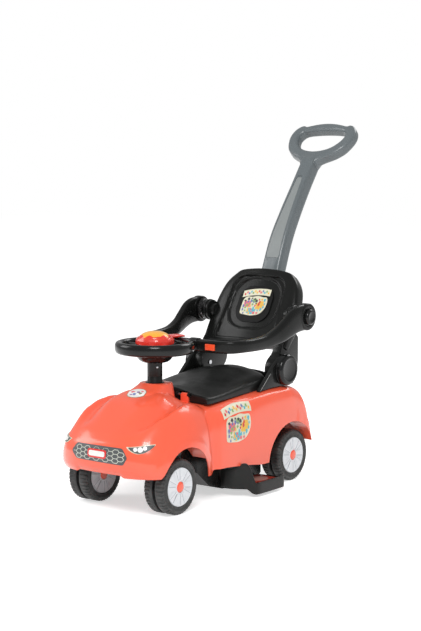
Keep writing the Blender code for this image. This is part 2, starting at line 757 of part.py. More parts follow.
def hubcap_loop():
    low = HALF_WIDTH - HUB_RECESS + RUNNING_GAP
    edge = HUB_RADIUS * cos(pi / WHEEL_SIDES) - RUNNING_GAP
    return [
        (CAP_RADIUS + RUNNING_GAP, HALF_WIDTH - HUB_PROUD),
        (edge - 0.0020, HALF_WIDTH - HUB_PROUD),
        (edge, HALF_WIDTH - HUB_PROUD - 0.002),
        (edge, low),
        (CAP_RADIUS + RUNNING_GAP, low),
    ]


def cap_loop():
    top = HALF_WIDTH + CAP_PROUD
    low = HALF_WIDTH - HUB_RECESS + 0.0030
    edge = CAP_RADIUS
    return [(0, top), (edge * 0.8, top - 0.0004), (edge, top - 0.0020), (edge, low), (0, low)]


def wheel(name, side, y, front):
    """One wheel, or one disc of a twin front wheel, with its hubcap and centre cap."""
    origin = (side * WHEEL_CENTRE_X, y, WHEEL_RADIUS)
    for suffix, facing in (("", side),) if not front else (("_outer", side), ("_inner", -side)):
        tyre = [(wheel_loop(front), True)]
        turned_part("wheel_" + name + suffix, tyre, "tyre_black", origin, "X", facing, WHEEL_SIDES, True)
        turned_part("hubcap_" + name + suffix, [(hubcap_loop(), True)], "hub_grey", origin, "X", facing, HUB_SIDES)
        cap = [(cap_loop(), False)]
        turned_part("centre_cap_" + name + suffix, cap, "coral_plastic", origin, "X", facing, 12)


STRUT_HALF_THICK = 0.0032
STRUT_HALF_WIDTH = 0.012
EYE_RADIUS = 0.014


def knuckle(name, side):
    """A strut that drops between the two wheel discs, with its kingpin and steering arm."""
    x = side * WHEEL_CENTRE_X
    eye = (FRONT_AXLE_Y, WHEEL_RADIUS)
    low, high = KNUCKLE_HEAD
    origin = (x, FRONT_AXLE_Y, 0)
    outline = arc(eye, EYE_RADIUS, 150, 390, 15)
    outline += [(FRONT_AXLE_Y + STRUT_HALF_WIDTH, low + 0.003), (FRONT_AXLE_Y - STRUT_HALF_WIDTH, low + 0.003)]
    bore = arc(eye, AXLE_RADIUS + RUNNING_GAP, 0, 345, 16)
    part = outline_plate(
        "knuckle_" + name, outline, 2 * STRUT_HALF_THICK, "YZ", x, "black_plastic", [bore], origin
    )
    head = block((x - 0.014, FRONT_AXLE_Y - 0.014, low), (x + 0.014, FRONT_AXLE_Y + 0.014, high))
    boolean(part, object_from("knuckle_head", head), "UNION")
    arm = arc((x, FRONT_AXLE_Y + STEER_ARM), 0.0085, 0, 180, 9)
    arm += [(x - 0.010, FRONT_AXLE_Y), (x + 0.010, FRONT_AXLE_Y)]
    thick = TIE_PLATE_LOW - 0.0005 - low
    boolean(part, outline_plate("steering_arm", arm, thick, "XY", low + thick / 2), "UNION")
    kingpin_top = BOSS_TOP - 0.002
    kingpin = rod(KINGPIN_RADIUS, high - 0.002, kingpin_top, "Z", (x, FRONT_AXLE_Y), 20)
    boolean(part, object_from("kingpin", kingpin), "UNION")
    pin_top = TIE_PLATE_LOW + TIE_PLATE_THICK + 0.002
    pin = rod(PIN_RADIUS, low + 0.001, pin_top, "Z", (x, FRONT_AXLE_Y + STEER_ARM), 12)
    boolean(part, object_from("arm_pin", pin), "UNION")
    stub = rod(AXLE_RADIUS, -0.0250, 0.0250, "X", (0, 0), 12)
    object_from("stub_axle_" + name, stub, "steel", (x, FRONT_AXLE_Y, WHEEL_RADIUS))


def tie_plate():
    """The T-shaped plate that joins both steering arms to the crank's pin."""
    y = FRONT_AXLE_Y + STEER_ARM
    crank_y = COLUMN_Y + STEER_ARM
    half = WHEEL_CENTRE_X
    middle = TIE_PLATE_LOW + TIE_PLATE_THICK / 2
    outline = arc((half, y), 0.009, -90, 90, 9)
    outline += [(0.022, y + 0.009), (0.009, y + 0.022)]
    outline += arc((0, crank_y), 0.009, 0, 180, 9)
    outline += [(-0.009, y + 0.022), (-0.022, y + 0.009)]
    outline += arc((-half, y), 0.009, 90, 270, 9)
    hole = PIN_RADIUS + RUNNING_GAP
    holes = [arc(centre, hole, 0, 330, 12) for centre in ((half, y), (-half, y), (0, crank_y))]
    origin = (half, y, 0)
    return outline_plate("tie_plate", outline, TIE_PLATE_THICK, "XY", middle, "black_plastic", holes, origin)


# Chassis

AXLE_BLOCK_X = (0.058, 0.074)


def chassis():
    """The belly tub, the front deck over the steering, and the rear axle blocks."""
    side = [
        (-0.112, 0.120),
        (-0.110, 0.071),
        (-0.061, 0.030),
        (-0.010, 0.0155),
        (0.135, 0.0155),
        (0.150, 0.030),
        (0.150, 0.111),
        (0.020, 0.111),
        (-0.060, 0.120),
    ]
    inner = [
        (-0.109, 0.140),
        (-0.107, 0.073),
        (-0.060, 0.0330),
        (-0.009, 0.0185),
        (0.134, 0.0185),
        (0.147, 0.0315),
        (0.147, 0.140),
    ]
    tub = outline_plate("chassis", side, 2 * TUB_HALF_WIDTH, "YZ", 0, "black_plastic")
    hollow = outline_plate("tub_hollow", inner, 2 * (TUB_HALF_WIDTH - TUB_WALL), "YZ", 0)
    boolean(tub, hollow, "DIFFERENCE")
    deck = [(0.070, -0.250), (0.070, -0.243)]
    deck += arc((WHEEL_CENTRE_X, FRONT_AXLE_Y), BOSS_RADIUS + 0.002, -70, 90, 9)
    edge = TUB_HALF_WIDTH - 0.001
    deck += [(edge, -0.190), (edge, -0.100), (-edge, -0.100), (-edge, -0.190)]
    deck += arc((-WHEEL_CENTRE_X, FRONT_AXLE_Y), BOSS_RADIUS + 0.002, 90, 250, 9)
    deck += [(-0.070, -0.243), (-0.070, -0.250)]
    middle = (DECK_Z[0] + DECK_Z[1]) / 2
    boolean(tub, outline_plate("front_deck", deck, DECK_Z[1] - DECK_Z[0], "XY", middle), "UNION")
    for sign in (1, -1):
        top = DECK_Z[1] - 0.0005
        web = [(-0.172, 0.118), (-0.108, 0.090), (-0.060, 0.090), (-0.060, 0.119), (-0.100, top), (-0.172, top)]
        plate = outline_plate("side_web", web, 0.004, "YZ", sign * (TUB_HALF_WIDTH - 0.0022))
        boolean(tub, plate, "UNION")
        boss = rod(BOSS_RADIUS, DECK_Z[0] + 0.0005, BOSS_TOP, "Z", (sign * WHEEL_CENTRE_X, FRONT_AXLE_Y), 24)
        boolean(tub, object_from("kingpin_boss", boss), "UNION")
        bearing = [(0.198, 0.104), (REAR_AXLE_Y - 0.013, WHEEL_RADIUS)]
        bearing += arc((REAR_AXLE_Y, WHEEL_RADIUS), 0.013, 195, 345, 9)
        bearing += [(REAR_AXLE_Y + 0.013, WHEEL_RADIUS), (0.262, 0.104), (0.262, 0.110), (0.198, 0.110)]
        width = AXLE_BLOCK_X[1] - AXLE_BLOCK_X[0]
        place = sign * (AXLE_BLOCK_X[0] + AXLE_BLOCK_X[1]) / 2
        boolean(tub, outline_plate("axle_block", bearing, width, "YZ", place), "UNION")
    rear_deck = block((-0.078, 0.146, REAR_DECK_Z), (0.078, 0.270, REAR_DECK_TOP))
    boolean(tub, object_from("rear_deck", rear_deck), "UNION")
    boss = rod(0.0165, DECK_Z[0] + 0.0005, DECK_Z[1], "Z", (0, COLUMN_Y), 24)
    boolean(tub, object_from("column_pad", boss), "UNION")
    low, high = DECK_Z[0] - 0.012, DECK_Z[1] + 0.012
    hole = rod(SPIGOT_RADIUS + RUNNING_GAP, low, high, "Z", (0, COLUMN_Y))
    boolean(tub, object_from("spigot_hole", hole), "DIFFERENCE")
    for sign in (1, -1):
        centre = (sign * WHEEL_CENTRE_X, FRONT_AXLE_Y)
        bore = rod(KINGPIN_RADIUS + RUNNING_GAP, low, BOSS_TOP + 0.006, "Z", centre, 20)
        boolean(tub, object_from("kingpin_bore", bore), "DIFFERENCE")
    axle_bore = rod(AXLE_RADIUS + RUNNING_GAP, -0.09, 0.09, "X", (REAR_AXLE_Y, WHEEL_RADIUS), 16)
    boolean(tub, object_from("rear_axle_bore", axle_bore), "DIFFERENCE")
    for sign in (1, -1):
        wall = sign * (TUB_HALF_WIDTH - 0.001)
        low_corner = (wall - 0.006, TONGUE_Y[0] - 0.0005, FOOT_FLOOR[0] - 0.0004)
        slot = block(low_corner, (wall + 0.006, TONGUE_Y[1] + 0.0005, FOOT_FLOOR[1] + 0.0004))
        boolean(tub, object_from("foot_slot", slot), "DIFFERENCE")
    return tub


def rear_axle():
    reach = WHEEL_CENTRE_X + HALF_WIDTH - HUB_RECESS + 0.002
    axle = rod(AXLE_RADIUS, -reach, reach, "X", (0, 0), 12)
    return object_from("rear_axle", axle, "steel", (0, REAR_AXLE_Y, WHEEL_RADIUS))


# Footrests

def footrest(name, side):
    """A tray with a curved front wall that sweeps down into the outer lip."""
    lip_low, lip_high = 0.0080, 0.0370
    front = [
        (TUB_HALF_WIDTH + 0.0035, -0.020, 0.0240, 0.0665),
        (TUB_HALF_WIDTH + 0.0180, -0.019, 0.0240, 0.0675),
        (0.133, -0.014, 0.0240, 0.0680),
        (0.146, -0.007, 0.0240, 0.0675),
        (0.157, 0.000, 0.0230, 0.0650),
        (0.166, 0.006, 0.0180, 0.0560),
        (FOOT_LIP_X - 0.0120, 0.010, 0.0110, 0.0430),
        (FOOT_LIP_X - 0.0050, 0.0145, lip_low, 0.0380),
        (FOOT_LIP_X - 0.0015, 0.021, lip_low, lip_high),
    ]
    path = front + [
        (FOOT_LIP_X, 0.040, lip_low, lip_high),
        (FOOT_LIP_X, 0.116, lip_low, lip_high),
        (FOOT_LIP_X - 0.0025, 0.125, lip_low + 0.001, lip_high - 0.001),
        (FOOT_LIP_X - 0.0100, 0.130, 0.0150, lip_high - 0.003),
        (0.150, 0.131, 0.0190, 0.0300),
        (TUB_HALF_WIDTH + 0.008, 0.131, 0.0190, 0.0280),
    ]
    wall = wall_along([(side * x, y, low, high) for x, y, low, high in path])
    rest = object_from("footrest_" + name, wall, "black_plastic")
    inner = TUB_HALF_WIDTH + 0.0035
    tongue = TUB_HALF_WIDTH - 0.040
    lip = FOOT_LIP_X - 0.001
    floor = [(inner, -0.019), (0.133, -0.013), (0.157, 0.001), (lip - 0.004, 0.016), (lip, 0.040), (lip, 0.116)]
    floor += [(lip - 0.009, 0.129), (inner, 0.131), (inner, TONGUE_Y[1])]
    floor += [(tongue, TONGUE_Y[1]), (tongue, TONGUE_Y[0]), (inner, TONGUE_Y[0])]
    outline = [(side * x, y) for x, y in floor]
    thick = FOOT_FLOOR[1] - FOOT_FLOOR[0]
    middle = (FOOT_FLOOR[0] + FOOT_FLOOR[1]) / 2
    boolean(rest, outline_plate("foot_floor", outline, thick, "XY", middle), "UNION")
    hook = [(-0.012, 0.060), (0.030, 0.060), (0.033, 0.072), (0.030, 0.0835), (-0.020, 0.0835), (-0.030, 0.072)]
    hook_x = (0.1565, 0.1600)
    place = side * (hook_x[0] + hook_x[1]) / 2
    hook_plate = outline_plate("foot_hook", hook, hook_x[1] - hook_x[0], "YZ", place)
    foot_block = block((side * 0.1575 - 0.0022, -0.004, 0.0220), (side * 0.1575 + 0.0022, 0.030, 0.0650))
    boolean(rest, object_from("hook_stem", foot_block), "UNION")
    boolean(rest, hook_plate, "UNION")
    pad_low = FOOT_FLOOR[1] + RUNNING_GAP
    reach = sorted((side * (TUB_HALF_WIDTH + 0.010), side * (FOOT_LIP_X - 0.010)))
    corners = ((reach[0], 0.040), (reach[1], 0.118))
    pad_outline = rounded_box_outline(corners[0], corners[1], 0.008, 4)
    outline_plate("foot_pad_" + name, pad_outline, 0.002, "XY", pad_low + 0.001, "foot_pad_red")


# Seat, storage bin and hinge

def seat_lid():
    """The crowned seat lid, a thin shell that closes the storage bin."""
    front, rear, half = SEAT_FRONT, SEAT_REAR, SEAT_HALF_WIDTH
    low = [roof_height(y) + RUNNING_GAP for y in (front, 0, rear)]
    stations = [
        Station(front, front + 0.004, half - 0.006, low[0], low[0] + 0.0004, low[0] + 0.0004, 5),
        Station(front - 0.0002, front + 0.003, half - 0.004, low[0], 0.2600, 0.2520, 5),
        Station(front + 0.006, front + 0.007, half - 0.001, low[0], 0.2680, 0.2550, 5),
        Station(front + 0.030, front + 0.030, half, roof_height(front + 0.03) + RUNNING_GAP, 0.2680, 0.2540, 5.5),
        Station(-0.030, -0.030, half, roof_height(-0.03) + RUNNING_GAP, 0.2660, 0.2560, 6),
        Station(0.015, 0.015, half, roof_height(0.015) + RUNNING_GAP, 0.2650, 0.2620, 6),
        Station(0.060, 0.058, half, roof_height(0.06) + RUNNING_GAP, 0.2700, 0.2680, 6),
        Station(0.105, 0.093, half, roof_height(0.105) + RUNNING_GAP, 0.2800, 0.2740, 5),
        Station(0.145, 0.112, half - 0.001, roof_height(0.13) + RUNNING_GAP, 0.2890, 0.2790, 4.5),
        Station(0.170, 0.121, half - 0.003, roof_height(0.15) + RUNNING_GAP, 0.2900, 0.2810, 4.2),
        Station(0.182, 0.126, half - 0.005, low[2], 0.2840, 0.2760, 4),
        Station(rear, 0.129, half - 0.007, low[2], 0.2680, 0.2640, 4),
        Station(rear, 0.130, half - 0.008, low[2], low[2] + 0.0004, low[2] + 0.0004, 4),
    ]
    y, z = SEAT_HINGE
    sheet = draped_half(stations, shares=(0, 0.25, 0.5, 0.72, 0.86), walls=(0.3, 0.65, 1))
    sheet.transform(Matrix.Translation((0, -y, -z)))
    lid = object_from("seat_lid", sheet, "black_plastic", (0, y, z))
    add_mirror(lid)
    wall = lid.modifiers.new("moulded_wall", "SOLIDIFY")
    wall.thickness = SEAT_WALL
    wall.offset = -1
    inner, outer = SEAT_LUG_X
    for sign in (1, -1):
        ear = rod(SEAT_EAR_RADIUS, sign * (inner - SEAT_EAR), sign * (outer + SEAT_EAR), "X", (y, z), 14)
        boolean(lid, object_from("lid_ear", ear), "UNION")
        ends = sorted((sign * (inner - RUNNING_GAP), sign * (outer + RUNNING_GAP)))
        notch = block((ends[0], y - 0.02, 0.2), (ends[1], y + 0.0068, z + 0.0075))
        boolean(lid, object_from("lug_notch", notch), "DIFFERENCE")
        bore = rod(PIN_RADIUS, sign * 0.02, sign * 0.08, "X", (y, z), 12)
        boolean(lid, object_from("lid_pin_bore", bore), "DIFFERENCE")
    return lid


def hinge_lugs(shell):
    """Two lugs of the body that carry the seat's hinge pins."""
    y, z = SEAT_HINGE
    inner, outer = SEAT_LUG_X
    base = roof_height(y) - 0.002
    for name, sign in (("left", 1), ("right", -1)):
        lug = [(y - 0.0058, base), (y + 0.0050, base)] + arc((y, z), 0.0052, 5, 170, 9)
        plate = outline_plate("seat_lug", lug, outer - inner, "YZ", sign * (inner + outer) / 2)
        boolean(shell, plate, "UNION")
        bore = rod(PIN_RADIUS, sign * 0.03, sign * 0.07, "X", (y, z), 12)
        boolean(shell, object_from("lug_bore", bore), "DIFFERENCE")
        ends = (sign * (inner - SEAT_EAR), sign * (outer + SEAT_EAR))
        pin = rod(PIN_RADIUS - RUNNING_GAP, ends[0], ends[1], "X", (0, 0), 12)
        object_from("seat_pin_" + name, pin, "steel", (0, y, z))


def storage_bin():
    """The bin under the seat, hung by its flange on the roof's opening."""
    half, front, rear = SEAT_OPENING
    middle_y = (front + rear) / 2
    length = (rear - front) / 2
    slope = atan2(ROOF_REAR[1] - ROOF_FRONT[1], ROOF_REAR[0] - ROOF_FRONT[0])
    level = roof_height(middle_y) + RUNNING_GAP
    edge = half - 0.0006
    end = length - 0.0012
    outer = rounded_box_outline((-edge, -end), (edge, end), SEAT_OPENING_CORNER)
    inner = rounded_box_outline((-edge + 0.0025, -end + 0.0025), (edge - 0.0025, end - 0.0025), SEAT_OPENING_CORNER - 0.0025)
    rim = rounded_box_outline((-half - 0.007, -length - 0.004), (half + 0.007, length + 0.007), SEAT_OPENING_CORNER + 0.006)
    depth = 0.118
    tub = outline_plate("storage_bin", outer, depth, "XY", 0.001 - depth / 2, "black_plastic")
    boolean(tub, outline_plate("bin_rim", rim, 0.0022, "XY", 0.0011), "UNION")
    boolean(tub, outline_plate("bin_hollow", inner, depth, "XY", 0.0035 - depth / 2), "DIFFERENCE")
    turn = Matrix.Translation((0, middle_y, level)) @ Matrix.Rotation(slope, 4, "X")
    for piece in (tub, bpy.data.objects["bin_rim"], bpy.data.objects["bin_hollow"]):
        piece.location = turn.to_translation()
        piece.rotation_euler = turn.to_euler()
    return tub


# Backrest, its base and the pivots

BACK_LEAN = atan2(BACK_TOP[0] - BACK_LOW[0], BACK_TOP[1] - BACK_LOW[1])
BACK_LENGTH = hypot(BACK_TOP[0] - BACK_LOW[0], BACK_TOP[1] - BACK_LOW[1])
BACK_FRAME = Matrix(
    (
        (1, 0, 0, 0),
        (0, sin(BACK_LEAN), -cos(BACK_LEAN), BACK_LOW[0]),
        (0, cos(BACK_LEAN), sin(BACK_LEAN), BACK_LOW[1]),
        (0, 0, 0, 1),
    )
)


BACK_INSETS = [
    (0.0300, 0.0001),
    (0.0550, 0.0006),
    (0.0900, 0.0022),
    (0.1200, 0.0053),
    (0.1435, 0.0092),
    (0.1650, 0.0145),
    (0.1810, 0.0210),
    (0.1935, 0.0288),
]


def back_stations(depth, crown, foot):
    """Stations up the backrest; foot is the share of its depth at the lower edge."""
    half, length = BACK_HALF_WIDTH, BACK_LENGTH
    foot_depth = depth * foot
    foot_side = (depth - crown) * foot
    next_depth = depth * (foot + (1 - foot) * 0.2)
    next_side = (depth - crown) * (foot + (1 - foot) * 0.2)
    stations = [
        Station(0, 0, half - 0.0025, 0, foot_depth * 0.80, foot_side * 0.76, 5),
        Station(0.0030, 0.0030, half, 0, foot_depth * 0.95, foot_side * 0.95, 5),
        Station(0.0110, 0.0110, half, 0, next_depth, next_side, 5),
    ]
    for level, inset in BACK_INSETS:
        share = foot + (1 - foot) * smooth(level / 0.055)
        boxiness = 5 - 1.4 * max(level - 0.15, 0) / (length - 0.15)
        stations.append(Station(level, level, half - inset, 0, depth * share, (depth - crown) * share, boxiness))
    side = depth - crown
    stations.append(Station(length - 0.0060, length - 0.0080, half - 0.0381, 0, depth, side, 3.8))
    stations.append(Station(length - 0.0015, length - 0.0050, half - 0.0460, 0, depth * 0.86, side * 0.86, 3.7))
    stations.append(Station(length, length - 0.0040, half - 0.0490, 0, depth * 0.5, side * 0.5, 3.6))
    return stations


BACK_SHARES = (0, 0.3, 0.55, 0.75, 0.86)
BACK_WALLS = (0.3, 0.65, 1)


def trapezoid_outline(bottom, top, low, high, low_radius, high_radius, count=6):
    """A symmetric trapezoid with round corners: half widths at its low and high edges."""
    points = arc((bottom - low_radius, low + low_radius), low_radius, -90, 3, count)
    points += arc((top - high_radius, high - high_radius), high_radius, 3, 90, count)
    return points + [(-x, y) for x, y in reversed(points)]


def post_outline(grow):
    """Side outline of a backrest post, or with a clearance the room it takes in the rear half."""
    y, z = POST_CENTRE
    outline = arc(POST_CENTRE, POST_RADIUS + grow, 120, 300, 13)
    outline += [(y + 0.060 + grow, z - 0.018 - grow), (y + 0.073 + grow, z - 0.004)]
    outline += [(y + 0.0775 + grow, z + 0.012), (y + 0.0775 + grow, z + 0.074)]
    outline += [(y + 0.068, z + 0.084 + grow), (y + 0.020 - grow, z + 0.078 + grow)]
    return outline + [(y + 0.0035 - grow, z + 0.060), (y + 0.0005 - grow, z + 0.046), (y - 0.0075 - grow, z + 0.037)]


def backrest():
    """A front and a rear moulding that close on each other round the handle's socket."""
    tilt = BACK_FRAME @ Matrix.Translation((0, 0, -BACK_SPLIT))
    front_half = draped_half(back_stations(BACK_SPLIT, 0.004, 1), None, True, BACK_SHARES, BACK_WALLS)
    front_half.transform(tilt)
    front = object_from("backrest_front", front_half, "black_plastic")
    add_mirror(front)
    rear_depth = BACK_DEPTH - BACK_SPLIT - RUNNING_GAP
    stations = back_stations(rear_depth, BACK_REAR_CROWN, 0.2)
    rear_half = draped_half(stations, None, True, BACK_SHARES, BACK_WALLS)
    rear_half.transform(tilt @ Matrix.Translation((0, 0, -RUNNING_GAP)) @ Matrix.Diagonal((1, 1, -1, 1)))
    bmesh.ops.reverse_faces(rear_half, faces=rear_half.faces)
    rear = object_from("backrest_rear", rear_half, "black_plastic")
    add_mirror(rear)
    post = post_outline(0)
    for sign in (1, -1):
        place = sign * (POST_X[0] + POST_X[1]) / 2
        boolean(front, outline_plate("post", post, POST_X[1] - POST_X[0], "YZ", place), "UNION")
    for sign in (1, -1):
        ends = (sign * (BACK_HALF_WIDTH - 0.020), sign * (GUARD_BOSS_X[0] - RUNNING_GAP))
        pad = rod(GUARD_DISC_RADIUS - 0.002, *ends, "X", GUARD_PIVOT, 28)
        boolean(front, object_from("pivot_pad", pad), "UNION")
        ends = (sign * (BACK_HALF_WIDTH - 0.0203), sign * (BACK_HALF_WIDTH + 0.01))
        room = rod(GUARD_DISC_RADIUS - 0.002 + RUNNING_GAP, *ends, "X", GUARD_PIVOT, 28)
        boolean(rear, object_from("pad_room", room), "DIFFERENCE")
        place = sign * (POST_X[0] + POST_X[1]) / 2
        width = POST_X[1] - POST_X[0] + 2 * RUNNING_GAP
        boolean(rear, outline_plate("post_room", post_outline(RUNNING_GAP), width, "YZ", place), "DIFFERENCE")
    panel_edge = trapezoid_outline(PANEL_HALF[0], PANEL_HALF[1], 0.012, BACK_LENGTH - 0.023, 0.008, 0.032)
    panel = outline_plate("panel_recess", panel_edge, 0.012, "XY", 0.0)
    turns = [2 * pi * (i + 0.5) / 28 for i in range(28)]
    middle, across, up = OVAL
    oval_points = [(across * cos(t), middle + up * sin(t) * (1 - 0.10 * cos(t) ** 2)) for t in turns]
    oval = outline_plate("oval_recess", oval_points, 0.020, "XY", 0.0)
    for recess in (panel, oval):
        recess.data.transform(BACK_FRAME)
        boolean(front, recess, "DIFFERENCE")
    low, high = HANDLE_STUB_V
    n_low, n_high = HANDLE_STUB_N
    room = block((-HANDLE_STUB_X, low, n_low), (HANDLE_STUB_X, high + 0.05, n_high))
    room.transform(BACK_FRAME)
    socket = object_from("handle_socket", room)
    boolean(front, socket, "DIFFERENCE")
    boolean(rear, socket, "DIFFERENCE")


PANEL_HALF = (0.0886, 0.0800)
OVAL = (0.1120, 0.0670, 0.0655)
HANDLE_STUB_X = 0.0225
HANDLE_STUB_V = (0.102, BACK_LENGTH)
HANDLE_STUB_N = (-0.0600, -0.0252)


BASE_ARC = 0.1535


def back_base():
    """The frame on the roof behind the seat: two cheeks, a curved wall and a floor strip."""
    front_tip, rear_tip = 0.093, 0.240
    low = roof_height(front_tip) + RUNNING_GAP
    level = ROOF_REAR[1] + RUNNING_GAP
    cheek = [(front_tip, low), (ROOF_REAR[0], level), (rear_tip, level)]
    cheek += arc(POST_CENTRE, DISC_RADIUS + 0.0015, -5, 135, 11)
    cheek += [(0.1570, 0.3010), (0.1411, 0.2860)]
    width = CHEEK_X[1] - CHEEK_X[0]
    middle = (CHEEK_X[0] + CHEEK_X[1]) / 2
    base = outline_plate("back_base", cheek, width, "YZ", middle, "black_plastic")
    boolean(base, outline_plate("cheek_right", cheek, width, "YZ", -middle), "UNION")
    side = CHEEK_X[0] + 0.004
    floor = [(side, 0.150), (side, 0.236), (-side, 0.236), (-side, 0.150)]
    floor += arc((0, 0.052), BASE_ARC - 0.0005, 137, 43, 11)
    boolean(base, outline_plate("base_floor", floor, 0.003, "XY", level + 0.0015), "UNION")
    wall = arc((0, 0.052), BASE_ARC + 0.0045, 126, 54, 11) + arc((0, 0.052), BASE_ARC, 54, 126, 11)
    boolean(base, outline_plate("base_wall", wall, 0.032, "XY", level + 0.016), "UNION")
    bolt = rod(BOLT_RADIUS + RUNNING_GAP, -0.2, 0.2, "X", POST_CENTRE, 12)
    boolean(base, object_from("bolt_bore", bolt), "DIFFERENCE")
    post_bore = object_from("post_bolt_bore", rod(BOLT_RADIUS + RUNNING_GAP, -0.2, 0.2, "X", POST_CENTRE, 12))
    boolean(bpy.data.objects["backrest_front"], post_bore, "DIFFERENCE")
    for name, sign in (("left", 1), ("right", -1)):
        loop = [
            (0, DISC_THICK - 0.0020),
            (DISC_RADIUS - 0.0120, DISC_THICK - 0.0016),
            (DISC_RADIUS - 0.0100, DISC_THICK),
            (DISC_RADIUS - 0.0055, DISC_THICK - 0.0005),
            (DISC_RADIUS, DISC_THICK - 0.0050),
            (DISC_RADIUS, 0),
            (0, 0),
        ]
        origin = (sign * (CHEEK_X[1] + RUNNING_GAP), *POST_CENTRE)
        turned_part("side_disc_" + name, [(loop, False)], "black_plastic", origin, "X", sign, 24)


BOLT_RADIUS = 0.0030


def back_bolts():
    """One bolt on each side clamps the backrest's post to its cheek."""
    for name, sign in (("left", 1), ("right", -1)):
        bolt = rod(BOLT_RADIUS, sign * (POST_X[0] + 0.0003), sign * (CHEEK_X[1] - 0.0002), "X", (0, 0), 12)
        part = object_from("back_bolt_" + name, bolt, "steel", (0, *POST_CENTRE))
        head = rod(0.0055, sign * (POST_X[0] - 0.0030), sign * (POST_X[0] - RUNNING_GAP), "X", POST_CENTRE, 12)
        neck = rod(BOLT_RADIUS, sign * (POST_X[0] - 0.0020), sign * (POST_X[0] + 0.0020), "X", POST_CENTRE, 12)
        boolean(part, object_from("bolt_neck", neck), "UNION")
        boolean(part, object_from("bolt_head", head), "UNION")


# Guard ring

GUARD_ARM_X = (GUARD_DISC_X[0] + GUARD_DISC_X[1]) / 2
GUARD_PATH = [
    (GUARD_ARM_X, *GUARD_PIVOT),
    (GUARD_ARM_X, 0.2120, 0.4140),
    (GUARD_ARM_X - 0.0020, 0.1840, 0.4050),
    (GUARD_ARM_X - 0.0060, 0.1570, 0.3900),
    (GUARD_ARM_X - 0.0110, 0.1300, 0.3775),
    (GUARD_ARM_X - 0.0150, 0.0940, 0.3675),
    (GUARD_ARM_X - 0.0175, 0.0530, 0.3645),
    (GUARD_ARM_X - 0.0230, 0.0120, GUARD_BAR[1] + 0.001),
    (GUARD_ARM_X - 0.0390, GUARD_BAR[0] + 0.014, GUARD_BAR[1]),
    (GUARD_ARM_X - 0.0680, GUARD_BAR[0] + 0.0025, GUARD_BAR[1]),
    (0.0600, *GUARD_BAR),
    (0.0200, *GUARD_BAR),
    (-0.020, *GUARD_BAR),
]
GUARD_HALVES = [
    (0.0090, 0.0325),
    (0.0092, 0.0330),
    (0.0095, 0.0325),
    (0.0098, 0.0275),
    (0.0100, 0.0215),
    (0.0100, 0.0175),
    (0.0100, 0.0155),
    (0.0100, 0.0150),
    (0.0100, 0.0150),
    (0.0100, 0.0150),
    (0.0100, 0.0150),
    (0.0100, 0.0150),
    (0.0100, 0.0150),
]


def guard_sweep(side, stop_x):
    """The arm from its pivot forward and round to the plane x = stop_x (on the left-hand side)."""
    path = [Vector(point) for point in GUARD_PATH]
    halves = list(GUARD_HALVES)
    keep = [i for i, point in enumerate(path) if point.x > stop_x + 0.004]
    path = [path[i] for i in keep] + [Vector((stop_x, *GUARD_BAR))]
    halves = [halves[i] for i in keep] + [GUARD_BAR_HALF]
    rings = swept_section(path, halves, 3.0, 10)
    rings[-1] = [Vector((stop_x, point.y, point.z)) for point in rings[-1]]
    return [[(side * point.x, point.y, point.z) for point in ring] for ring in rings]


